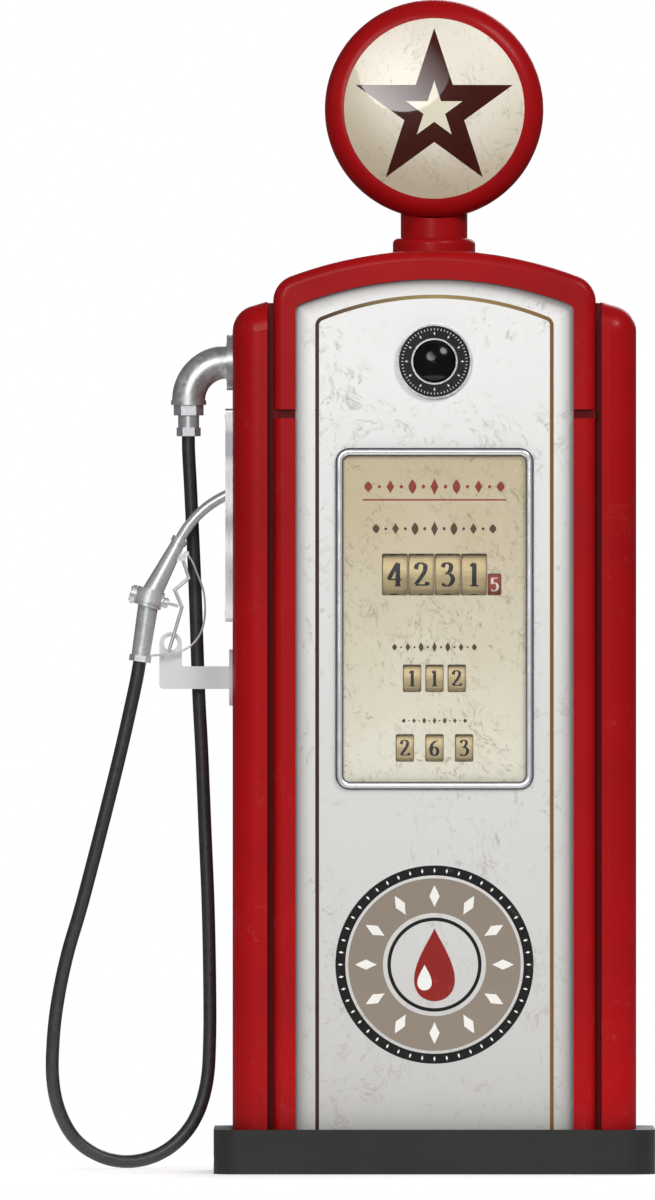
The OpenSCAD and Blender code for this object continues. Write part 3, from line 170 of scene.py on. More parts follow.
def spline(points, count):
    """Catmull-Rom curve through the points, count samples for each span."""
    p = np.asarray(points, float)
    p = np.concatenate([2 * p[:1] - p[1:2], p, 2 * p[-1:] - p[-2:-1]])
    t = np.linspace(0, 1, count, endpoint=False)[None, :, None]
    a, b, c, d = (p[k:len(p) - 3 + k, None, :] for k in range(4))
    square, cube = 2 * a - 5 * b + 4 * c - d, 3 * b - a - 3 * c + d
    curve = 0.5 * (2 * b + (c - a) * t + square * t ** 2 + cube * t ** 3)
    return np.concatenate([curve.reshape(-1, p.shape[1]), p[-2:-1]])


def along(curve):
    """Unit directions along a curve of points."""
    run = np.gradient(curve, axis=0)
    return run / np.linalg.norm(run, axis=1, keepdims=True)


def ribbon(curve, width):
    """Flat ribbon of shape (2, n, 2): a curve in a plane, carried half a width to each side."""
    run = along(curve)
    side = np.stack([-run[:, 1], run[:, 0]], -1) * np.reshape(width, (-1, 1)) / 2
    return np.stack([curve + side, curve - side])


def on_front(plane, y):
    """Points (x, z) of the front plane, put at the depth y."""
    return np.stack([plane[..., 0], np.full(plane.shape[:-1], y), plane[..., 1]], -1)


def round_points(centre, r, turn):
    """Points of the plane at a distance r from a centre, at clockwise angles from upright."""
    return np.stack([centre[0] + r * np.sin(turn), centre[1] + r * np.cos(turn)], -1)


def ring(inner, outer, centre, y):
    """Flat band between two radii round a centre in the front plane."""
    turn = np.linspace(0, 2 * np.pi, 97)
    return on_front(round_points(centre, np.linspace(inner, outer, 5)[:, None], turn), y)


def frame_line(half_w, half_h, r):
    """Rounded rectangle in the plane, anticlockwise from its right side: two quarter rounds, and both turned
    by half a turn."""
    a = np.linspace(0, np.pi / 2, 8)
    corner = r * np.stack([np.cos(a), np.sin(a)], -1)
    right = np.array([half_w - r, half_h - r]) + corner
    left = (np.array([half_h - r, half_w - r]) + corner) @ np.array([[0, 1], [-1, 0]])
    return np.concatenate([right, left, -right, -left])


def framed_sheet(lines, depths):
    """Sheet over closed lines of the front plane, each at its own depth, with its two ends joined."""
    rows = np.stack([on_front(line, y) for line, y in zip(lines, depths)])
    return np.concatenate([rows, rows[:, :1]], 1)


# Finishes. A pattern's scale is 1000 over the size of its cells in millimetres.

COLUMN_W = 0.066  # width of a side panel's rounded column, in metres
SEAM_Z = 1.433  # foot of the seam under the hood, in metres
MIX_TONES = {"out": 2, "data_type": "RGBA"}  # for a node that mixes two colours
NOISE_SPAN = (0.3, 0.7)  # what most values of a noise lie between


def add_node(tree, kind, sockets=None, out=0, stops=None, **settings):
    """Add a shader node, named as kind or kind.operation, with its settings and a ramp's stops, and give each
    named socket a value, hex colour or link. Returns one output, or all of them where out is None."""
    kind, _, operation = kind.partition(".")
    made = tree.nodes.new("ShaderNode" + kind)
    if operation:
        made.operation = operation
    for name, value in settings.items():
        setattr(made, name, value)
    if stops:
        tones = made.color_ramp.elements
        for share, code in stops.items():
            tone = tones[0] if share == 0 else tones[-1] if share == 1 else tones.new(share)
            tone.color = linear(code)
    for name, value in (sockets or {}).items():
        if isinstance(value, bpy.types.NodeSocket):
            tree.links.new(value, made.inputs[name])
        else:
            made.inputs[name].default_value = linear(value) if isinstance(value, str) else value
    return made.outputs if out is None else made.outputs[out]


def start_finish(name, **sockets):
    """Material with a principled shader of the given fixed values. Returns it, a call that adds nodes to it,
    and its object coordinates."""
    finish = bpy.data.materials.new(name)
    finish.use_nodes = True
    finish.node_tree.nodes.clear()
    node = partial(add_node, finish.node_tree)
    shader = node("BsdfPrincipled", {k.replace("_", " "): v for k, v in sockets.items()})
    node("OutputMaterial", {"Surface": shader}, out=None)
    return finish, node, node("TexCoord", out="Object")


def end_finish(finish, tone=None, rough=None, relief=None, depth_mm=0.0, span=NOISE_SPAN):
    """Link to the shader what is given: a colour, a roughness that goes from its first value to its second as
    its pattern crosses the span, and a relief of so many millimetres."""
    tree = finish.node_tree
    ends = {"Base Color": tone}
    if rough:
        pattern, first, second = rough
        ends["Roughness"] = add_node(
            tree, "MapRange", {0: pattern, 1: span[0], 2: span[1], 3: first, 4: second})
    if relief is not None:
        ends["Normal"] = add_node(tree, "Bump", {"Height": relief, "Distance": depth_mm / 1000})
    for name, socket in ends.items():
        if socket is not None:
            tree.links.new(socket, tree.nodes["Principled BSDF"].inputs[name])
    return finish


def shade(tone, gain, lift=0.0):
    """Colour, linear or a hex code, times a gain plus a lift, at most 1."""
    tone = linear(tone) if isinstance(tone, str) else tone
    return (*(min(1.0, c * gain + lift) for c in tone[:3]), 1.0)


def plain_coat(name, tone, patch_mm, rough, spread=0.12, grain_mm=3.0, depth_mm=0.02, **sockets):
    """Paint, rubber or plastic of one tone, cloudy in patches, with a fine grain in its relief."""
    finish, node, place = start_finish(name, **sockets)
    cloud = node("TexNoise", {"Vector": place, "Scale": 1000 / patch_mm, "Detail": 5})
    deep, pale = shade(tone, 1 - 2.2 * spread), shade(tone, 1 + spread, 0.02 * spread)
    tint = node("Mix", {0: cloud, 6: deep, 7: pale}, **MIX_TONES)
    grain = node("TexNoise", {"Vector": place, "Scale": 1000 / grain_mm, "Detail": 3})
    return end_finish(finish, tint, (cloud, rough - 0.06, rough + 0.06), grain, depth_mm)


def bare_metal(name, tone, rough, stretch, grain_mm, depth_mm=0.01, spread=0.1, metal=1.0):
    """Metal whose grain is stretched along an axis, as brushing or drawing leaves it, with dull patches."""
    finish, node, place = start_finish(name, Metallic=metal)
    lined = node("Mapping", {"Vector": place, "Scale": stretch})
    grain = node("TexNoise", {"Vector": lined, "Scale": 1000 / grain_mm, "Detail": 4})
    dull = node("TexNoise", {"Vector": place, "Scale": 1000 / 45, "Detail": 6, "Roughness": 0.6})
    both = node("Math.MULTIPLY", {0: grain, 1: dull})
    clear = node("MapRange", {0: both, 1: 0.1, 2: 0.4})
    tint = node("Mix", {0: clear, 6: shade(tone, 1 - 3 * spread), 7: tone}, **MIX_TONES)
    return end_finish(finish, tint, (dull, rough - 0.05, rough + 0.1), grain, depth_mm)


def scuffed(node, place, ground, tone, share, cell_mm, patch_mm, cover):
    """Ground with a share of a tone in its marks of old wear, which lie in cloudy patches, drawn out along a
    wandering rub: chipped flecks, and hairlines along one level of a rough noise, broken by a second noise.
    Returns the colour and the mask of the marks."""
    cloud = node("TexNoise", {"Vector": place, "Scale": 1000 / patch_mm, "Detail": 4})
    kept = node("MapRange", {0: cloud, 1: 0.6 - 0.2 * cover, 2: 0.74 - 0.2 * cover})
    sway = node("TexNoise", {"Vector": place, "Scale": 1000 / 130, "Detail": 2}, out="Color")
    bent = node("VectorMath.MULTIPLY_ADD", {0: sway, 1: (0.16, 0.16, 0.16), 2: place})
    turned = node("Mapping", {"Vector": bent, "Rotation": (0, 0.4, 0)})
    rubbed = node("Mapping", {"Vector": turned, "Scale": (1, 1, 0.6)})
    # Flecks are a quarter of a cell across, hairlines wander over two cells, and the gaps in them are shorter
    flake = node("TexNoise", {"Vector": rubbed, "Scale": 4200 / cell_mm, "Detail": 12, "Roughness": 0.78})
    fleck = node("MapRange", {0: flake, 1: 0.55, 2: 0.66})
    wander = node("TexNoise", {"Vector": rubbed, "Scale": 500 / cell_mm, "Detail": 10, "Roughness": 0.64})
    level = node("Math.SUBTRACT", {0: wander, 1: 0.5})
    near = node("Math.ABSOLUTE", {0: level})
    hair = node("MapRange", {0: near, 2: 0.01, 3: 1.0, 4: 0.0})
    gap = node("TexNoise", {"Vector": place, "Scale": 1600 / cell_mm, "Detail": 3})
    broken = node("MapRange", {0: gap, 1: 0.4, 2: 0.58, 4: 0.8})
    line = node("Math.MULTIPLY", {0: hair, 1: broken})
    both = node("Math.MAXIMUM", {0: fleck, 1: line})
    marks = node("Math.MULTIPLY", {0: both, 1: kept})
    faint = node("Math.MULTIPLY", {0: marks, 1: share})
    return node("Mix", {0: faint, 6: ground, 7: tone}, **MIX_TONES), marks


def chromed_bead(solid, corner, bead):
    """Chromed half-round bead, its reflection painted in: a painted highlight, white along its crown, grey
    down its flank, and painted shade, dark at both edges. Its share runs from the inner edge, 0, to the outer
    edge, 1, of a rounded rectangle."""
    finish, node, place = start_finish("chromed_steel_bead", Metallic=0.5)
    half = (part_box(solid)[1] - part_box(solid)[0]) / 2
    straight = (half.x - corner, 1.0, half.z - corner)
    moved = node("VectorMath.SUBTRACT", {0: place, 1: tuple(middle(solid))})
    aside = node("VectorMath.ABSOLUTE", {0: moved})
    past = node("VectorMath.SUBTRACT", {0: aside, 1: straight})
    kept = node("VectorMath.MAXIMUM", {0: past, 1: (0, 0, 0)})
    away = node("VectorMath.LENGTH", {0: kept}, out="Value")
    share = node("MapRange", {0: away, 1: corner - bead, 2: corner})
    # Painted reflection: the ramp paints the bead's highlight along its crown and painted shade at its edges
    tone = node("ValToRGB", {0: share}, stops={
        0.0: "#3F3C36", 0.12: "#77746E", 0.22: "#ECEDEF", 0.5: "#F6F7F8", 0.7: "#C8C8D0", 0.84: "#8F8F98",
        0.9: "#3C3C42", 1.0: "#34343A"})
    haze = node("TexNoise", {"Vector": place, "Scale": 1000 / 40, "Detail": 3})
    return end_finish(finish, tone, (haze, 0.2, 0.32))


def buffed_plate():
    """Plated sheet with fine upright lines, and painted reflections: broad light and dark bands up its
    height.
    """
    finish, node, place = start_finish("buffed_plated_sheet", Metallic=0.6)
    height = node("SeparateXYZ", {0: place}, out=2)
    # Painted reflections: light and dark bands at random heights up the plate
    bands = node("TexNoise", {"W": height, "Scale": 1000 / 110, "Detail": 1}, noise_dimensions="1D")
    clear = node("MapRange", {0: bands, 1: 0.34, 2: 0.66})
    tone = node("Mix", {0: clear, 6: "#9FA1A4", 7: "#F4F1F0"}, **MIX_TONES)
    lined = node("Mapping", {"Vector": place, "Scale": (1, 1, 0.03)})
    grain = node("TexNoise", {"Vector": lined, "Scale": 1000 / 1.6, "Detail": 4})
    return end_finish(finish, tone, (grain, 0.25, 0.42), grain, 0.01)


def red_enamel(colours):
    """Sprayed enamel on sheet steel, gone satin with age: deep red with darker patches, faint pale rubs, and
    painted shade, near black, in the grooves beside the columns and in the seam under the hood."""
    finish, node, place = start_finish(
        "sprayed_red_enamel", Specular_IOR_Level=0.08, Coat_Weight=0.06, Coat_Roughness=0.12)
    cloud = node("TexNoise", {"Vector": place, "Scale": 1000 / 260, "Detail": 6, "Roughness": 0.55})
    patch = node("MapRange", {0: cloud, 1: 0.3, 2: 0.6, 3: 0.45, 4: 1.0})
    coat = node("Mix", {0: patch, 6: colours.red_deep, 7: colours.red}, **MIX_TONES)
    worn, _ = scuffed(node, place, coat, "#D9A79A", 0.07, cell_mm=85, patch_mm=190, cover=0.4)
    across, _, height = node("SeparateXYZ", {0: place}, out=None)
    aside = node("Math.ABSOLUTE", {0: across})
    # The groove's band takes in its walls, by 0.2 mm, and the seam's band stops 0.1 mm short of its edges
    core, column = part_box("hood")[1].x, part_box("right_side_panel")[1].x - COLUMN_W
    groove = node("Math.COMPARE", {0: aside, 1: (core + column) / 2, 2: (column - core) / 2 + 0.0002})
    hood_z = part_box("hood")[0].z
    level = node("Math.COMPARE", {0: height, 1: (SEAM_Z + hood_z) / 2, 2: (hood_z - SEAM_Z) / 2 - 0.0001})
    inside = node("Math.LESS_THAN", {0: aside, 1: core})
    seam = node("Math.MULTIPLY", {0: level, 1: inside})
    # Painted shade: the recessed groove beside each column and the seam under the hood are painted near black
    sunk = node("Math.MAXIMUM", {0: groove, 1: seam})
    recess_shade = node("Math.MULTIPLY", {0: sunk, 1: 0.75})
    shaded_coat = node("Mix", {0: recess_shade, 6: worn, 7: "#2E0A0B"}, **MIX_TONES)
    peel = node("TexNoise", {"Vector": place, "Scale": 1000 / 14, "Detail": 2})
    return end_finish(finish, shaded_coat, (cloud, 0.42, 0.3), peel, 0.03)


def white_enamel(colours):
    """Fired white enamel, worn: bright, with beige rubs and scratches, and painted shade: greyer towards the
    ground and darker along the edge. The edge's painted shadow follows the panel's straight sides and its
    arch."""
    finish, node, place = start_finish("fired_white_enamel", Coat_Weight=0.3, Coat_Roughness=0.1)
    across, _, height = node("SeparateXYZ", {0: place}, out=None)
    # Painted shade: the white turns greyer towards the ground
    dust = node("MapRange", {0: height, 1: 0.1, 2: 1.55, 3: 0.58, 4: 0.0})
    clean = node("Mix", {0: dust, 6: colours.white, 7: "#8E8C88"}, **MIX_TONES)
    # Painted shadow of the red frame's recess: dark grey along the panel's straight sides and under its arch
    half, arch_r, arch_z, shadow_w = 0.264, 0.7176, 0.9794, 0.036
    aside = node("Math.ABSOLUTE", {0: across})
    side = node("MapRange", {0: aside, 1: half - shadow_w, 2: half, 4: 0.95})
    lift = node("Math.SUBTRACT", {0: height, 1: arch_z}, use_clamp=True)
    flat = node("CombineXYZ", {0: across, 2: lift})
    away = node("VectorMath.LENGTH", {0: flat}, out="Value")
    head = node("MapRange", {0: away, 1: arch_r - shadow_w, 2: arch_r, 4: 0.95})
    edge = node("Math.MAXIMUM", {0: side, 1: head})
    soft = node("Math.MULTIPLY", {0: edge, 1: edge})
    ground = node("Mix", {0: soft, 6: clean, 7: "#5F5B5E"}, **MIX_TONES)
    worn, marks = scuffed(node, place, ground, colours.stain, 0.75, cell_mm=95, patch_mm=140, cover=0.9)
    peel = node("TexNoise", {"Vector": place, "Scale": 1000 / 16, "Detail": 2})
    return end_finish(finish, worn, (marks, 0.3, 0.6), peel, 0.025, span=(0, 1))


def dial_tin(colours):
    """Printed tin plate, aged: tan at its head, cream below, with brown scratches and an uneven relief."""
    finish, node, place = start_finish("printed_dial_tin", Roughness=0.5)
    low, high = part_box("dial_plate")
    height = node("SeparateXYZ", {0: place}, out=2)
    fade = node("MapRange", {0: height, 1: low.z + 0.05, 2: high.z - 0.06})
    cloud = node("TexNoise", {"Vector": place, "Scale": 1000 / 120, "Detail": 6})
    blend = node("Math.MULTIPLY_ADD", {0: cloud, 1: 0.55, 2: -0.28})
    aged = node("Math.ADD", {0: fade, 1: blend}, use_clamp=True)
    ground = node("Mix", {0: aged, 6: colours.dial, 7: colours.dial_aged}, **MIX_TONES)
    worn, _ = scuffed(node, place, ground, "#857A5C", 0.85, cell_mm=55, patch_mm=90, cover=1.2)
    dents = node("TexNoise", {"Vector": place, "Scale": 1000 / 9, "Detail": 6, "Roughness": 0.7})
    return end_finish(finish, worn, relief=dents, depth_mm=0.01)


def opal_lens(colours):
    """Pressed opal glass: milky cream with painted shade, warmer and darker to the rim, most at its lower
    left, with faint brown wear and a clear gloss over it."""
    finish, node, place = start_finish(
        "pressed_opal_glass", Roughness=0.35, IOR=1.5, Coat_Weight=0.4, Coat_Roughness=0.03)
    # Painted shade: darker and warmer towards the rim, and most towards the lower left
    moved = node("Mapping", {"Vector": place, "Location": (0, 0, -middle("front_lens")[2])})
    flat = node("VectorMath.MULTIPLY", {0: moved, 1: (1, 0, 1)})
    away = node("VectorMath.LENGTH", {0: flat}, out="Value")
    fall = node("VectorMath.DOT_PRODUCT", {0: moved, 1: (-0.55, 0, -0.83)}, out="Value")
    aside = node("Math.MULTIPLY_ADD", {0: fall, 1: 0.6, 2: away})
    rim = node("MapRange", {0: aside, 1: 0.03, 2: 0.25, 4: 0.9}, interpolation_type="SMOOTHSTEP")
    ground = node("Mix", {0: rim, 6: colours.lens, 7: "#C6B89C"}, **MIX_TONES)
    worn, _ = scuffed(node, place, ground, "#928468", 0.6, cell_mm=60, patch_mm=110, cover=1.1)
    return end_finish(finish, worn)


def hose_rubber():
    """Wrapped rubber hose: dull black with a soft sheen and the slanting print of its curing cloth."""
    finish, node, _ = start_finish("wrapped_hose_rubber")
    lay = node("UVMap", uv_map="hose_lay")
    turns = node("TexWave", {"Vector": lay, "Scale": 0.35, "Distortion": 0.6}, out=1,
                 bands_direction="DIAGONAL")
    dust = node("TexNoise", {"Vector": lay, "Scale": 0.9, "Detail": 6})
    tone = node("Mix", {0: dust, 6: "#1F1F1F", 7: "#3C3B3A"}, **MIX_TONES)
    return end_finish(finish, tone, (dust, 0.36, 0.5), turns, 0.12)


def galvanised_casting():
    """Cast iron elbow dipped in zinc: pale grey, mottled with spangles, softly shiny with dark pits."""
    finish, node, place = start_finish("galvanised_cast_iron", Metallic=0.7)
    spangle = node("TexVoronoi", {"Vector": place, "Scale": 1000 / 9}, out="Color")
    value = node("SeparateXYZ", {0: spangle})
    pit = node("TexNoise", {"Vector": place, "Scale": 1000 / 7, "Detail": 6, "Roughness": 0.7})
    mottle = node("Math.MULTIPLY", {0: value, 1: pit})
    tone = node("Mix", {0: mottle, 6: "#C2C4C3", 7: "#EDEFEE"}, **MIX_TONES)
    return end_finish(finish, tone, (value, 0.3, 0.5), pit, 0.05, span=(0, 1))


def see_through(name, tone, alpha, rough):
    """Glass kept thin to the eye, so that what lies behind it stays bright, with its polish on top."""
    finish, node, place = start_finish(
        name, Base_Color=tone, Alpha=alpha, IOR=1.5, Coat_Weight=1.0, Coat_Roughness=0.02)
    haze = node("TexNoise", {"Vector": place, "Scale": 1000 / 80, "Detail": 5})
    finish.surface_render_method = "BLENDED"
    return end_finish(finish, rough=(haze, rough, rough + 0.12), span=(0.4, 0.7))


def print_ink(name, tone, rough=0.45, wear_mm=12, wear=0.35, **gloss):
    """Printed or fired colour, slightly broken where it has rubbed, under a glaze where gloss is given."""
    finish, node, place = start_finish(name, **{"Specular_IOR_Level": 0.2, **gloss})
    rub = node("TexNoise", {"Vector": place, "Scale": 1000 / wear_mm, "Detail": 7, "Roughness": 0.7})
    thin = node("MapRange", {0: rub, 1: 0.58, 2: 0.78, 4: wear})
    ink = node("Mix", {0: thin, 6: tone, 7: shade(tone, 0.7, 0.21)}, **MIX_TONES)
    return end_finish(finish, ink, (rub, rough - 0.05, rough + 0.1))


def stripe_gold(half):
    """Fired gold lustre: brown on the left, bright over the arch, tan on the right."""
    finish, node, place = start_finish("fired_gold_lustre", Roughness=0.35, Specular_IOR_Level=0.3)
    across = node("SeparateXYZ", {0: place})
    share = node("MapRange", {0: across, 1: -half, 2: half})
    tone = node("ValToRGB", {0: share}, stops={
        0.0: "#371B13", 0.04: "#4A2C1A", 0.5: "#A4905A", 0.96: "#85642F", 1.0: "#7A5628"})
    return end_finish(finish, tone)


# Stage

VIEW_MIDDLE = (-0.2029, -0.23, 1.0885)  # point at the cabinet's front that the picture is centred on
FLOOR_R = 1.6  # in metres
LIGHT_AIM = np.array([0.0, 0.0, 1.1])
# Softboxes: place and diameter in metres, and share of the key's power
SOFTBOXES = {
    "key_softbox": ((3.4, -5.0, 5.6), 2.6, 1.0),
    "front_softbox": ((-1.25, -7.1, 3.9), 4.1, 1.15),
    "left_softbox": ((-5.2, -1.5, 3.4), 2.6, 0.03),
    "back_softbox": ((1.5, 6.5, 4.4), 5.0, 1.2)}
FADE_LINE = (0.75, 0.0, 0.72)  # way in which the front softbox fades: to the right and up


def fade_lamp(light, place):
    """Let a softbox fade from its lower left edge, as seen from behind it, to its upper right one, so that
    its mirror image on the lens has no hard outline."""
    light.use_nodes = True
    tree = light.node_tree
    spot = add_node(tree, "NewGeometry", out="Position")
    moved = add_node(tree, "VectorMath.SUBTRACT", {0: spot, 1: place})
    across = add_node(tree, "VectorMath.DOT_PRODUCT", {0: moved, 1: FADE_LINE}, out="Value")
    reach = light.size / 2
    power = add_node(tree, "MapRange", {0: across, 1: -reach, 2: 0.8 * reach, 3: 2.25, 4: 0.0})
    tree.links.new(power, tree.nodes["Emission"].inputs["Strength"])


class PUMP_OT_stage(bpy.types.Operator):
    """Camera, floor and soft light"""
    bl_idname = "pump.stage"
    bl_label = "Stage"

    def execute(self, context):
        stage = context.scene.pump_stage
        self.set_camera(context, stage)
        self.lay_floor()
        for name, (place, size, share) in SOFTBOXES.items():
            light = self.hang_lamp(context, name, place, size, share * stage.key)
            if name == "front_softbox":
                fade_lamp(light, place)
        self.light_sky(context, stage)
        return {"FINISHED"}

    @staticmethod
    def set_camera(context, stage):
        """Long lens square to the cabinet's front."""
        camera = bpy.data.cameras.new("camera")
        camera.sensor_width = 36
        camera.lens = camera.sensor_width * stage.camera_from / stage.view_h
        camera.clip_end = 2 * stage.camera_from
        seat = bpy.data.objects.new("camera", camera)
        seat.location = (VIEW_MIDDLE[0], VIEW_MIDDLE[1] - stage.camera_from, VIEW_MIDDLE[2])
        seat.rotation_euler = (math.pi / 2, 0, 0)
        context.scene.collection.objects.link(seat)
        context.scene.camera = seat

    @staticmethod
    def lay_floor():
        """Round floor just under the base. It glows towards its rim, so that no shadow is cut off there."""
        turn = np.linspace(0, 2 * np.pi, 64, endpoint=False)
        reach = np.array([0.0, 0.5, 1.0, FLOOR_R])[:, None]
        level = np.full((reach.size, turn.size), CAD_BOX[0][2] - 0.0005)
        disc = np.stack([reach * np.cos(turn), reach * np.sin(turn), level], -1)
        paper = plain_coat(
            "matt_studio_floor", "#F2F2F1", 900, 0.7, 0.01, 40, 0.01, Emission_Color="#FFFFFF")
        tree = paper.node_tree
        place = add_node(tree, "TexCoord", out="Object")
        away = add_node(tree, "VectorMath.LENGTH", {0: place}, out="Value")
        glow = add_node(tree, "MapRange", {0: away, 1: 0.7, 2: FLOOR_R, 3: 0.45, 4: 1.1})
        tree.links.new(glow, tree.nodes["Principled BSDF"].inputs["Emission Strength"])
        floor = make_piece("floor", [disc], paper, body=None, wrap=True)

    @staticmethod
    def hang_lamp(context, name, place, size, power):
        """Round softbox turned to the pump's middle."""
        light = bpy.data.lights.new(name, "AREA")
        light.shape, light.size, light.energy = "DISK", size, power
        lamp = bpy.data.objects.new(name, light)
        lamp.location = place
        x, y, z = LIGHT_AIM - np.array(place)
        lamp.rotation_euler = (math.atan2(math.hypot(x, y), -z), 0, math.atan2(-x, y))
        context.scene.collection.objects.link(lamp)
        return light

    @staticmethod
    def light_sky(context, stage):
        """Dim even light from all round, which the camera sees as white."""
        world = bpy.data.worlds.new("studio")
        world.use_nodes = True
        tree = world.node_tree
        seen = add_node(tree, "LightPath", out="Is Camera Ray")
        power = add_node(tree, "MapRange", {0: seen, 3: stage.world, 4: 1.0})
        sky = tree.nodes["Background"]
        sky.inputs["Color"].default_value = linear("#FFFFFF")
        tree.links.new(power, sky.inputs["Strength"])
        context.scene.world = world
        context.scene.view_settings.view_transform = "Standard"


# Hose: route from the coupling to the nozzle's tail, in metres
HOSE_ROUTE = [
    (-0.4675, -0.06, 1.4), (-0.467, -0.06, 1.37), (-0.463, -0.06, 1.294), (-0.458, -0.06, 1.186),
    (-0.454, -0.06, 1.09), (-0.448, -0.06, 0.916), (-0.442, -0.06, 0.8), (-0.436, -0.06, 0.655),
    (-0.43, -0.061, 0.509), (-0.427, -0.063, 0.364), (-0.427, -0.066, 0.254), (-0.432, -0.069, 0.175),
    (-0.45, -0.073, 0.112), (-0.482, -0.077, 0.065), (-0.527, -0.082, 0.033), (-0.582, -0.087, 0.021),
    (-0.637, -0.092, 0.032), (-0.683, -0.097, 0.065), (-0.712, -0.102, 0.116), (-0.725, -0.106, 0.178),
    (-0.724, -0.11, 0.254), (-0.715, -0.113, 0.33), (-0.697, -0.116, 0.416), (-0.67, -0.118, 0.509),
    (-0.632, -0.12, 0.655), (-0.596, -0.12, 0.8), (-0.572, -0.12, 0.907), (-0.5642, -0.12, 0.945),
    (-0.5597, -0.12, 0.9715)]
HOSE_SIDES = 24
CLOTH_STEP = 0.012  # length of hose to one unit of its UV map, in metres


class PUMP_OT_hose(bpy.types.Operator):
    """Rubber hose in one hanging loop"""
    bl_idname = "pump.hose"
    bl_label = "Hose"

    def execute(self, context):
        """A circle carried along the smooth route, square to it, starting in the loop's own plane."""
        width = context.scene.pump_sizes.hose_d
        line = spline(HOSE_ROUTE, 9)
        run = along(line)
        side = np.cross(run, (0.0, 1.0, 0.0))
        side /= np.linalg.norm(side, axis=1, keepdims=True)
        out = np.cross(side, run)
        turn = np.linspace(0, 2 * np.pi, HOSE_SIDES + 1)[:, None]
        tube = line[:, None] + width / 2 * (side[:, None] * np.cos(turn) + out[:, None] * np.sin(turn))
        piece = make_piece("rubber_hose", [tube], hose_rubber(), body=None)
        gone = np.concatenate([[0], np.cumsum(np.linalg.norm(np.diff(line, axis=0), axis=1))])
        corners = np.empty(len(piece.data.loops), int)
        piece.data.loops.foreach_get("vertex_index", corners)
        row, column = np.divmod(corners, HOSE_SIDES + 1)
        lay = np.stack([gone[row], column / HOSE_SIDES * np.pi * width], -1) / CLOTH_STEP
        piece.data.uv_layers.new(name="hose_lay").data.foreach_set("uv", lay.ravel())
        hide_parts("hose")
        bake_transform(piece)
        return {"FINISHED"}


TENTHS_DRUM = "sale_wheel_tenths"


class PUMP_OT_finishes(bpy.types.Operator):
    """Finishes of all the solids"""
    bl_idname = "pump.finishes"
    bl_label = "Finishes"

    def execute(self, context):
        """Each finish goes on the solids named beside it, and a solid that is left out stops the script."""
        colours = context.scene.pump_colours
        drums = " ".join(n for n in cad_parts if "_wheel_" in n and n != TENTHS_DRUM)
        dim = {"Specular_IOR_Level": 0.25}
        # Brushed plate keeps fine upright lines, buffed castings a cloudy gleam, machine paint a dull grey.
        # A coat's numbers are its patches in mm, roughness, spread of tone, and grain and its depth in mm. A
        # metal's are its roughness, stretch, grain and its depth in mm, spread of tone and share of metal.
        kinds = [
            (red_enamel(colours), "left_side_panel right_side_panel core_walls hood globe_neck globe_body"),
            (white_enamel(colours), "front_panel rear_upper_panel rear_door"),
            (plain_coat("satin_paint_on_cast_iron", colours.base, 110, 0.5, 0.16, 5, 0.2, **dim),
             "base_plinth"),
            (bare_metal("brushed_plated_steel", "#CFD1D4", 0.32, (1, 1, 0.04), 1.6, metal=0.5),
             "door_hinges door_latch register_frame counter_shafts register_drive_shaft outlet_flange "
             "hose_coupling trigger_guard valve_stem"),
            (buffed_plate(), "nozzle_boot"),
            (bare_metal("buffed_cast_aluminium", "#DADDDB", 0.36, (1, 1, 1), 5, 0.06, metal=0.55),
             "nozzle_body nozzle_spout nozzle_trigger"),
            (chromed_bead("dial_bezel", 0.027, 0.015), "dial_bezel"),
            (bare_metal("turned_chrome_ring", "#C9CBCF", 0.25, (1, 1, 1), 20, 0.005, 0.05, 0.7),
             "sight_rings"),
            (plain_coat("grey_machine_paint", "#70767A", 60, 0.5, 0.1, 4, 0.15),
             "sight_body gear_case meter pump_unit pump_pulley motor_pulley"),
            (plain_coat("grey_primer_on_steel", "#585C60", 90, 0.6, 0.1, 3, 0.03),
             "frame_posts frame_rails equipment_shelves"),
            (plain_coat("dark_motor_paint", "#3D4448", 60, 0.45, 0.1, 4, 0.1), "motor switch_box"),
            (dial_tin(colours), "dial_plate"),
            (see_through("frosted_bulb_glass", "#F5F0E0", 0.7, 0.4), "lamp_bulb"),
            (plain_coat("gloss_black_enamel", "#0D0D0E", 30, 0.3, 0.2, 8, **dim), "sight_flange"),
            (plain_coat("smoked_sight_glass", "#08090A", 25, 0.1, 0.3, 30, 0.0, **dim), "sight_lens"),
            (plain_coat("moulded_black_socket", "#2A2A2A", 30, 0.5), "lamp_socket"),
            (plain_coat("moulded_belt_rubber", "#1E1E1E", 20, 0.7, 0.2, 2, 0.1), "drive_belt"),
            (bare_metal("drawn_galvanised_pipe", "#8F8A82", 0.4, (1, 1, 0.1), 4, 0.05), "pipework"),
            (galvanised_casting(), "outlet_elbow"),
            (plain_coat("light_grey_lever_paint", "#DEDFDF", 40, 0.6, 0.03, 4, Specular_IOR_Level=0.2),
             "switch_lever"),
            (opal_lens(colours), "front_lens rear_lens"),
            (bare_metal("satin_brass_drum", colours.brass, 0.4, (0.05, 1, 1), 2, metal=0.35), drums),
            (plain_coat("satin_red_drum_paint", "#A23A2E", 15, 0.4), TENTHS_DRUM)]
        bare = set(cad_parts) - {"hose", "dial_glass"}
        for finish, names in kinds:
            for name in names.split():
                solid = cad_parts[name]
                solid.data.materials.clear()
                solid.data.materials.append(finish)
                bare.discard(name)
        if bare:
            raise RuntimeError(f"no finish for {sorted(bare)}")
        return {"FINISHED"}


# Strokes of the numerals on a sheet 0.6 wide and 1 high: centre lines that a broad pen follows

def oval(x, z, half_w, half_h):
    """Closed oval stroke from its top, clockwise."""
    return (x, z) + (half_w, half_h) * round_points((0, 0), 1, np.linspace(0, 2 * np.pi, 25))


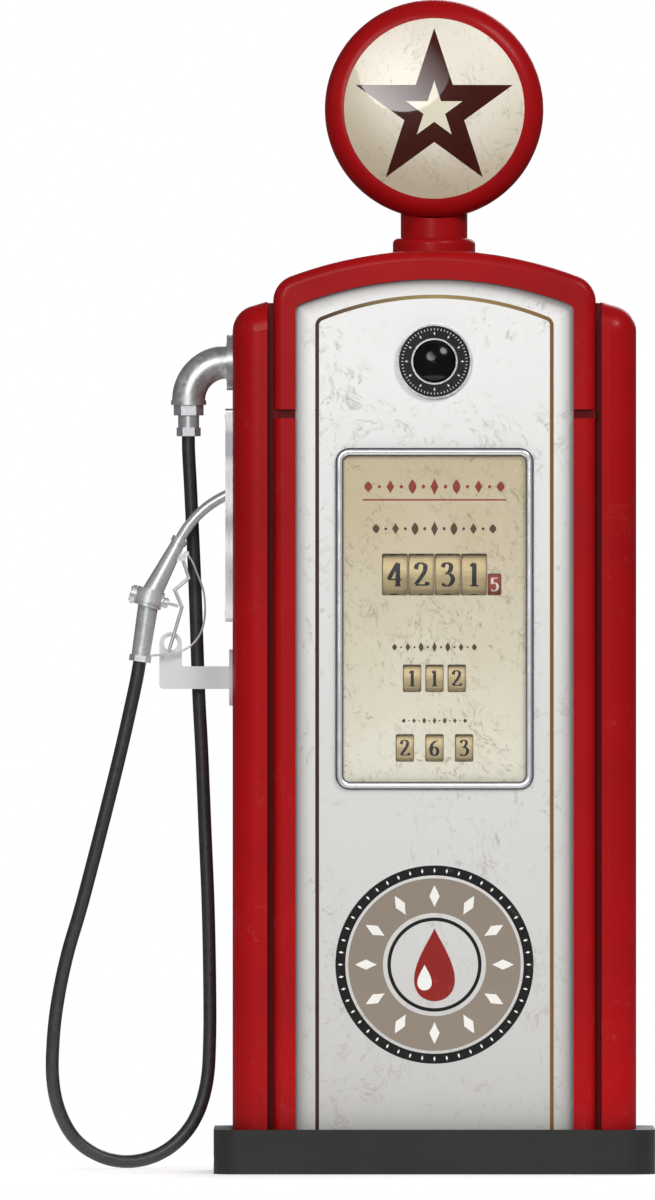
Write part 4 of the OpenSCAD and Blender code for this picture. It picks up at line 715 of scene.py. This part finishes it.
SIX = [(0.49, 0.93), (0.33, 0.89), (0.17, 0.73), (0.09, 0.5), (0.08, 0.28), (0.16, 0.09), (0.3, 0.03),
       (0.44, 0.1), (0.51, 0.28), (0.45, 0.47), (0.31, 0.55), (0.17, 0.49), (0.1, 0.36)]
BOWL = [(0.38, 0.06), (0.22, 0.03), (0.07, 0.11)]
STROKES = {
    0: [oval(0.3, 0.5, 0.23, 0.46)],
    1: [[(0.31, 0.97), (0.31, 0.03)], [(0.31, 0.96), (0.14, 0.85)], [(0.13, 0.03), (0.49, 0.03)]],
    2: [[(0.08, 0.72), (0.13, 0.9), (0.28, 0.97), (0.45, 0.88), (0.46, 0.7), (0.37, 0.5), (0.2, 0.26),
         (0.06, 0.07)],
        [(0.05, 0.06), (0.54, 0.06)], [(0.53, 0.05), (0.56, 0.19)]],
    3: [[(0.09, 0.8), (0.16, 0.93), (0.3, 0.97), (0.43, 0.88), (0.42, 0.7), (0.32, 0.57), (0.19, 0.53)],
        [(0.22, 0.54), (0.39, 0.51), (0.5, 0.39), (0.5, 0.22)] + BOWL],
    4: [[(0.41, 0.97), (0.04, 0.3)], [(0.03, 0.29), (0.58, 0.29)], [(0.42, 0.97), (0.42, 0.03)],
        [(0.29, 0.03), (0.55, 0.03)]],
    5: [[(0.15, 0.95), (0.51, 0.95)], [(0.16, 0.96), (0.12, 0.55)],
        [(0.12, 0.54), (0.26, 0.61), (0.42, 0.56), (0.51, 0.41), (0.5, 0.21)] + BOWL],
    6: [SIX],
    7: [[(0.06, 0.94), (0.54, 0.94)], [(0.53, 0.94), (0.36, 0.5), (0.25, 0.03)], [(0.07, 0.95), (0.05, 0.8)]],
    8: [oval(0.3, 0.745, 0.17, 0.215), oval(0.3, 0.275, 0.22, 0.245)],
    9: [[(0.6 - x, 1 - z) for x, z in SIX]]}
# Numeral that each drum shows
SHOWN = {"sale_wheel_1": 4, "sale_wheel_2": 2, "sale_wheel_3": 3, "sale_wheel_4": 1, TENTHS_DRUM: 5,
         "volume_wheel_1": 1, "volume_wheel_2": 1, "volume_wheel_3": 2,
         "price_wheel_1": 2, "price_wheel_2": 6, "price_wheel_3": 3}
TENTHS_TALL, TENTHS_DROP = 0.027, 0.019  # height of the tenths numerals, and window below the drum's middle
INK_UP = 0.0002  # how far print stands off what carries it, in metres


def pen_stroke(points):
    """Ribbon along a centre line, as a broad pen writes: from 0.06 wide on the level to 0.19 upright."""
    curve = spline(points, 2 if len(points) > 20 else 8)
    return ribbon(curve, 0.06 + 0.13 * np.abs(along(curve)[:, 1]) ** 1.3)


class PUMP_OT_numerals(bpy.types.Operator):
    """Numerals 0 to 9 round each number drum"""
    bl_idname = "pump.numerals"
    bl_label = "Numerals"

    def execute(self, context):
        """A stroke's sheet is wrapped on the drum: x stays, height becomes an angle, 36 degrees a numeral."""
        sizes = context.scene.pump_sizes
        dark = print_ink("fired_black_numeral", "#17181C", 0.35, 6)
        cream = print_ink("cream_drum_numeral", "#F0E2D0", 0.45, 6)
        for drum, shown in SHOWN.items():
            low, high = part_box(drum)
            centre, r = middle(drum), (high.z - low.z) / 2 + INK_UP
            tall, tilt, ink = sizes.numeral_small, 0, dark
            if drum == TENTHS_DRUM:
                tall, tilt, ink = TENTHS_TALL, math.asin(TENTHS_DROP / r), cream
            elif drum.startswith("sale_wheel"):
                tall = sizes.numeral_big
            sheets = []
            for numeral, strokes in STROKES.items():
                for flat in map(pen_stroke, strokes):
                    angle = (numeral - shown) * math.pi / 5 - tilt + (flat[..., 1] - 0.5) * tall / r
                    sheets.append(np.stack([
                        centre[0] + (flat[..., 0] - 0.3) * tall,
                        centre[1] - r * np.cos(angle), centre[2] + r * np.sin(angle)], -1))
            make_piece(drum + "_numerals", sheets, ink, drum)
        return {"FINISHED"}


# Windows of the dial, a row each: height, half width and half height in metres, and places across
WINDOWS = [
    (1.137, 0.0235, 0.0385, (-0.075, -0.025, 0.025, 0.075)),
    (1.118, 0.012, 0.0195, (0.1139,)),
    (0.94, 0.01625, 0.025, (-0.0424, 0, 0.0424)),
    (0.808, 0.01625, 0.025, (-0.0562, 0, 0.0562))]
# Rows of the pane from its front to its back: how far each lies inside the outline, and how deep
PANE_ROWS = [(0, 0), (0.001, 0), (0, 0.001), (0, 0.0015), (0.001, 0.0022), (0, 0.0022)]
PANE_R = 0.0155
# Ornaments of the dial, and a rule: height of the middle, width, and height of the tallest leaf, in metres
RED_ORNAMENT, RED_RULE = (1.3035, 0.272, 0.032), (1.2785, 0.272, 0.0028)
BROWN_ORNAMENTS = [(1.2236, 0.24, 0.028), (0.999, 0.164, 0.02), (0.8595, 0.126, 0.013)]


class PUMP_OT_dial(bpy.types.Operator):
    """Window frames, glass and printed ornaments of the dial"""
    bl_idname = "pump.dial"
    bl_label = "Dial"

    def execute(self, context):
        colours = context.scene.pump_colours
        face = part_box("dial_plate")[0].y
        frames = [self.window_frame(half_w, half_h, face) + np.array([x, 0, z])
                  for z, half_w, half_h, places in WINDOWS for x in places]
        bronze = bare_metal("bronzed_window_frame", "#6A5534", 0.4, (1, 1, 1), 8, metal=0.6)
        make_piece("window_frames", frames, bronze)
        glass = see_through("clear_float_glass", (1, 1, 1, 1), 0.02, 0.05)
        pane = make_piece("dial_pane", [self.pane_sheet()], glass)
        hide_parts("dial_glass")
        y = face - INK_UP
        rows = self.ornament(*RED_ORNAMENT, y) + self.rule(*RED_RULE, y)
        make_piece("red_dial_rules", rows, print_ink("red_dial_print", colours.print_red))
        rows = [leaf for row in BROWN_ORNAMENTS for leaf in self.ornament(*row, y)]
        make_piece("brown_dial_rules", rows, print_ink("brown_dial_print", colours.print_brown))
        return {"FINISHED"}

    @staticmethod
    def window_frame(half_w, half_h, face):
        """Thin rim: up the inside of the opening, over a flat 1 mm wide and down to the face."""
        inner, outer = frame_line(half_w, half_h, 0.0022), frame_line(half_w + 0.001, half_h + 0.001, 0.003)
        depths = face + np.array([0.0015, -0.0007, -0.0007, 0.0002])
        return framed_sheet([inner, inner, outer, outer], depths)

    @staticmethod
    def pane_sheet():
        """Glass with eased edges: outlines from front to back, closed at the middle of either face."""
        low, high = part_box("dial_glass")
        half = (high - low) / 2
        lines = [frame_line(half.x - inset, half.z - inset, PANE_R - inset) for inset, _ in PANE_ROWS]
        sheet = framed_sheet(lines, [low.y + deep for _, deep in PANE_ROWS])
        sheet[[0, -1]] *= (0, 1, 0)
        return sheet + middle("dial_glass") * (1, 0, 1)

    @staticmethod
    def rule(z, wide, tall, y):
        """Straight rule: a level line, made a ribbon."""
        line = np.stack([np.linspace(-wide / 2, wide / 2, 12), np.full(12, z)], -1)
        return [on_front(ribbon(line, tall), y)]

    @staticmethod
    def ornament(z, wide, tall, y):
        """Band of upright leaves and lozenges with dots between, the tallest in the middle: widths swell as
        1 - |t| in a lozenge and as the cosine of t in a leaf."""
        t = np.linspace(-1, 1, 13)
        parts = []
        for k in range(-6, 7):
            high, broad = (1.0, 0.055) if k % 2 == 0 else (0.3, 0.025)
            high = tall * (1 - 0.06 * abs(k)) * high
            swell = (1 - np.abs(t)) if k % 4 == 0 else np.cos(t * np.pi / 2)
            line = np.stack([np.full(13, k * wide / 13), z + high / 2 * t], -1)
            parts.append(on_front(ribbon(line, wide * broad * swell + 1e-5), y))
        return parts


STRIPE_TOP, STRIPE_ARCH_R, STRIPE_CORNER_R = 1.664, 0.57, 0.014


class PUMP_OT_stripe(bpy.types.Operator):
    """Gold stripe round the front panel"""
    bl_idname = "pump.stripe"
    bl_label = "Stripe"

    def execute(self, context):
        """A flat band inside the panel's edge: up a side, round a corner, over the arch and down again."""
        sizes = context.scene.pump_sizes
        half, corner = sizes.stripe_half, STRIPE_CORNER_R
        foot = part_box("base_plinth")[1].z
        reach = math.sqrt((STRIPE_ARCH_R - corner) ** 2 - (half - corner) ** 2)
        hub = np.array([0.0, STRIPE_TOP - STRIPE_ARCH_R])
        bend = hub + (half - corner, reach)
        lean = math.atan2(half - corner, reach)
        side = np.stack([np.full(40, half), np.linspace(foot, bend[1], 40)], -1)
        turn = round_points(bend, corner, np.linspace(np.pi / 2, lean, 10)[1:])
        arch = round_points(hub, STRIPE_ARCH_R, np.linspace(lean, 0, 40)[1:])
        right = np.concatenate([side, turn, arch])
        line = np.concatenate([right, right[-2::-1] * (-1, 1)])
        band = on_front(ribbon(line, sizes.stripe_w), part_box("front_panel")[0].y - INK_UP)
        make_piece("gold_stripe", [band], stripe_gold(half))
        return {"FINISHED"}


def ticks(count, inner, outer, half_angle, centre, y):
    """Lozenges round a ring, each a strip whose half angle swells to the middle."""
    t = np.linspace(0, 1, 5)
    turn = np.arange(count)[:, None, None] * 2 * np.pi / count
    swell = np.array([[1], [-1]]) * (half_angle * (1 - np.abs(2 * t - 1)) + 1e-4)
    return list(on_front(round_points(centre, inner + (outer - inner) * t, turn + swell), y))


class PUMP_OT_medallion(bpy.types.Operator):
    """Round medallion with a drop"""
    bl_idname = "pump.medallion"
    bl_label = "Medallion"

    def execute(self, context):
        """Rings about one centre, ticks as narrow wedges, and a drop, all sized as shares of the radius."""
        colours, r = context.scene.pump_colours, context.scene.pump_sizes.medallion_r
        centre = np.array([0.0, context.scene.pump_sizes.medallion_z])
        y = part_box("front_panel")[0].y - INK_UP
        white = print_ink("fired_white_detail", "#EFEDE8", 0.4, 20)
        black = print_ink("fired_black_ring", "#141414", 0.4, 20)
        taupe = print_ink("fired_taupe_ring", colours.taupe, 0.45, 20)
        oxide = print_ink("fired_oxide_red", colours.oxide, 0.4, 20)
        wedges = (ticks(48, 0.925 * r, 0.975 * r, 0.012, centre, y - INK_UP)
                  + ticks(12, 0.58 * r, 0.8 * r, 0.075, centre, y - INK_UP))
        parts = {
            "rings": ([ring(0.9 * r, r, centre, y), ring(0.44 * r, 0.475 * r, centre, y)], black),
            "band": ([ring(0.52 * r, 0.87 * r, centre, y)], taupe),
            "ticks": (wedges, white),
            "drop": ([self.drop(0.37 * r, centre, y)], oxide),
            "gleam": ([self.drop(0.13 * r, centre - (0.1 * r, 0.13 * r), y - INK_UP)], white)}
        for name, (grids, ink) in parts.items():
            make_piece("medallion_" + name, grids, ink)
        return {"FINISHED"}

    @staticmethod
    def drop(tall, centre, y):
        """Drop filled from its middle: height as cos(t), width as sin(t) times sin(t / 2) to the 1.4."""
        t = np.linspace(0, 2 * np.pi, 73)
        edge = np.stack([0.78 * tall * np.sin(t) * np.abs(np.sin(t / 2)) ** 1.4, tall * np.cos(t)], -1)
        scale = np.linspace(0.001, 1, 8)[:, None, None]
        return on_front(centre + scale * edge, y)


class PUMP_OT_star(bpy.types.Operator):
    """Printed stars on the lenses"""
    bl_idname = "pump.star"
    bl_label = "Stars"

    def execute(self, context):
        """Five straight-sided points, drawn in the round and laid on the lens's own curve."""
        glaze = {"Specular_IOR_Level": 0.08, "Coat_Weight": 0.8, "Coat_Roughness": 0.03}
        dark = print_ink("fired_maroon_star", context.scene.pump_colours.star, 0.3, 30, 0.06, **glaze)
        pale = print_ink("fired_cream_star", "#EDE6CF", 0.3, 30, 0.1, **glaze)
        parts = {"star": (np.linspace(0.3, 1, 24), dark), "star_heart": (np.linspace(0.002, 0.36, 12), pale)}
        edge, drop = self.outline(context.scene.pump_sizes.star_r), np.array([0, -0.004])
        for lens, side in (("front_lens", -1), ("rear_lens", 1)):
            low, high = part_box(lens)
            reach, deep = (high.z - low.z) / 2, high.y - low.y
            curve_r = (reach ** 2 + deep ** 2) / (2 * deep)
            tip = low.y if side < 0 else high.y
            centre = middle(lens)
            for up, (name, (scale, ink)) in enumerate(parts.items()):
                flat = scale[:, None, None] * edge + drop
                sunk = curve_r - np.sqrt(curve_r ** 2 - np.sum(flat ** 2, axis=-1))
                y = tip - side * sunk + side * (up + 1) * INK_UP * 1.5
                points = np.stack([side * -flat[..., 0] + centre[0], y, flat[..., 1] + centre[2]], -1)
                make_piece(lens + "_" + name, [points], ink)
        return {"FINISHED"}

    @staticmethod
    def outline(r):
        """Star's edge, 12 points to each side, from tip to notch at 0.382 of the radius."""
        k = np.arange(11)
        corners = round_points((0, 0), np.where(k % 2, 0.382 * r, r), k * np.pi / 5)
        t = np.linspace(0, 1, 12, endpoint=False)[:, None]
        runs = corners[:-1, None] * (1 - t) + corners[1:, None] * t
        return np.concatenate([runs.reshape(-1, 2), corners[-1:]])


class PUMP_OT_sight(bpy.types.Operator):
    """Marks round the sight glass"""
    bl_idname = "pump.sight"
    bl_label = "Sight marks"

    def execute(self, context):
        """Two rows of ticks: 60 short ones at the edge, and 12 long ones inside them."""
        centre = middle("sight_flange")[[0, 2]]
        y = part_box("sight_flange")[0].y - INK_UP
        white = print_ink("white_sight_marks", "#DADADA", 0.4, 8)
        marks = ticks(60, 0.0585, 0.0635, 0.016, centre, y) + ticks(12, 0.0495, 0.0565, 0.035, centre, y)
        make_piece("sight_marks", marks, white)
        return {"FINISHED"}


HEAD_UP = 0.0008  # how far a screw's head stands up, in metres
FLANGE_HEAD_R, BOOT_HEAD_R = 0.0075, 0.006
BOOT_INSET = (0.014, 0.016)  # boot's screws from its plate's upright and level edges


def raised_head(x, y, z, r):
    """Countersunk screw head facing -X, barely raised: a quarter ellipse turned about its axis."""
    turn, rise = np.linspace(0, 2 * np.pi, 25), np.linspace(0, np.pi / 2, 7)[:, None]
    flat = round_points((y, z), r * np.cos(rise) + 1e-5, turn)
    return np.stack([x - HEAD_UP * np.sin(rise) + 0 * turn, flat[..., 0], flat[..., 1]], -1)


class PUMP_OT_fasteners(bpy.types.Operator):
    """Screws of the outlet flange and of the boot"""
    bl_idname = "pump.fasteners"
    bl_label = "Fasteners"

    def execute(self, context):
        """Four screws on a circle round the flange, and one in each corner of the boot's plate."""
        plated = bare_metal("plated_bolt_steel", "#A9ACAE", 0.3, (1, 1, 1), 3)
        low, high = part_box("outlet_flange")
        hub, reach = middle("outlet_flange"), 0.39 * (high.z - low.z)
        heads = [raised_head(low.x, hub[1] + reach * math.cos(a), hub[2] + reach * math.sin(a), FLANGE_HEAD_R)
                 for a in np.pi / 4 + np.arange(4) * np.pi / 2]
        make_piece("flange_screws", heads, plated)
        low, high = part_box("nozzle_boot")
        heads = [raised_head(low.x, y, z, BOOT_HEAD_R)
                 for y in (low.y + BOOT_INSET[0], high.y - BOOT_INSET[0])
                 for z in (low.z + BOOT_INSET[1], high.z - BOOT_INSET[1])]
        make_piece("boot_screws", heads, plated)
        return {"FINISHED"}


OPERATORS = (PUMP_OT_stage, PUMP_OT_hose, PUMP_OT_finishes, PUMP_OT_numerals, PUMP_OT_dial, PUMP_OT_stripe,
             PUMP_OT_medallion, PUMP_OT_star, PUMP_OT_sight, PUMP_OT_fasteners)


class PUMP_PT_panel(bpy.types.Panel):
    """Shows the pump's settings and the buttons that make its pieces"""
    bl_idname = "PUMP_PT_panel"
    bl_label = "Gas Pump"
    bl_space_type = "VIEW_3D"
    bl_region_type = "UI"
    bl_category = "Gas Pump"

    def draw(self, context):
        for group in (context.scene.pump_colours, context.scene.pump_sizes, context.scene.pump_stage):
            for name in group.__annotations__:
                self.layout.prop(group, name)
        for operator in OPERATORS:
            self.layout.operator(operator.bl_idname)


GROUPS = {"pump_colours": PumpColours, "pump_sizes": PumpSizes, "pump_stage": PumpStage}


def register():
    for kind in (*GROUPS.values(), *OPERATORS, PUMP_PT_panel):
        bpy.utils.register_class(kind)
    for name, kind in GROUPS.items():
        setattr(bpy.types.Scene, name, bpy.props.PointerProperty(type=kind))


def unregister():
    for name in GROUPS:
        delattr(bpy.types.Scene, name)
    for kind in (PUMP_PT_panel, *reversed(OPERATORS), *GROUPS.values()):
        bpy.utils.unregister_class(kind)


def main():
    register()
    for operator in OPERATORS:
        group, name = operator.bl_idname.split(".")
        getattr(getattr(bpy.ops, group), name)()


if __name__ == "__main__":
    main()
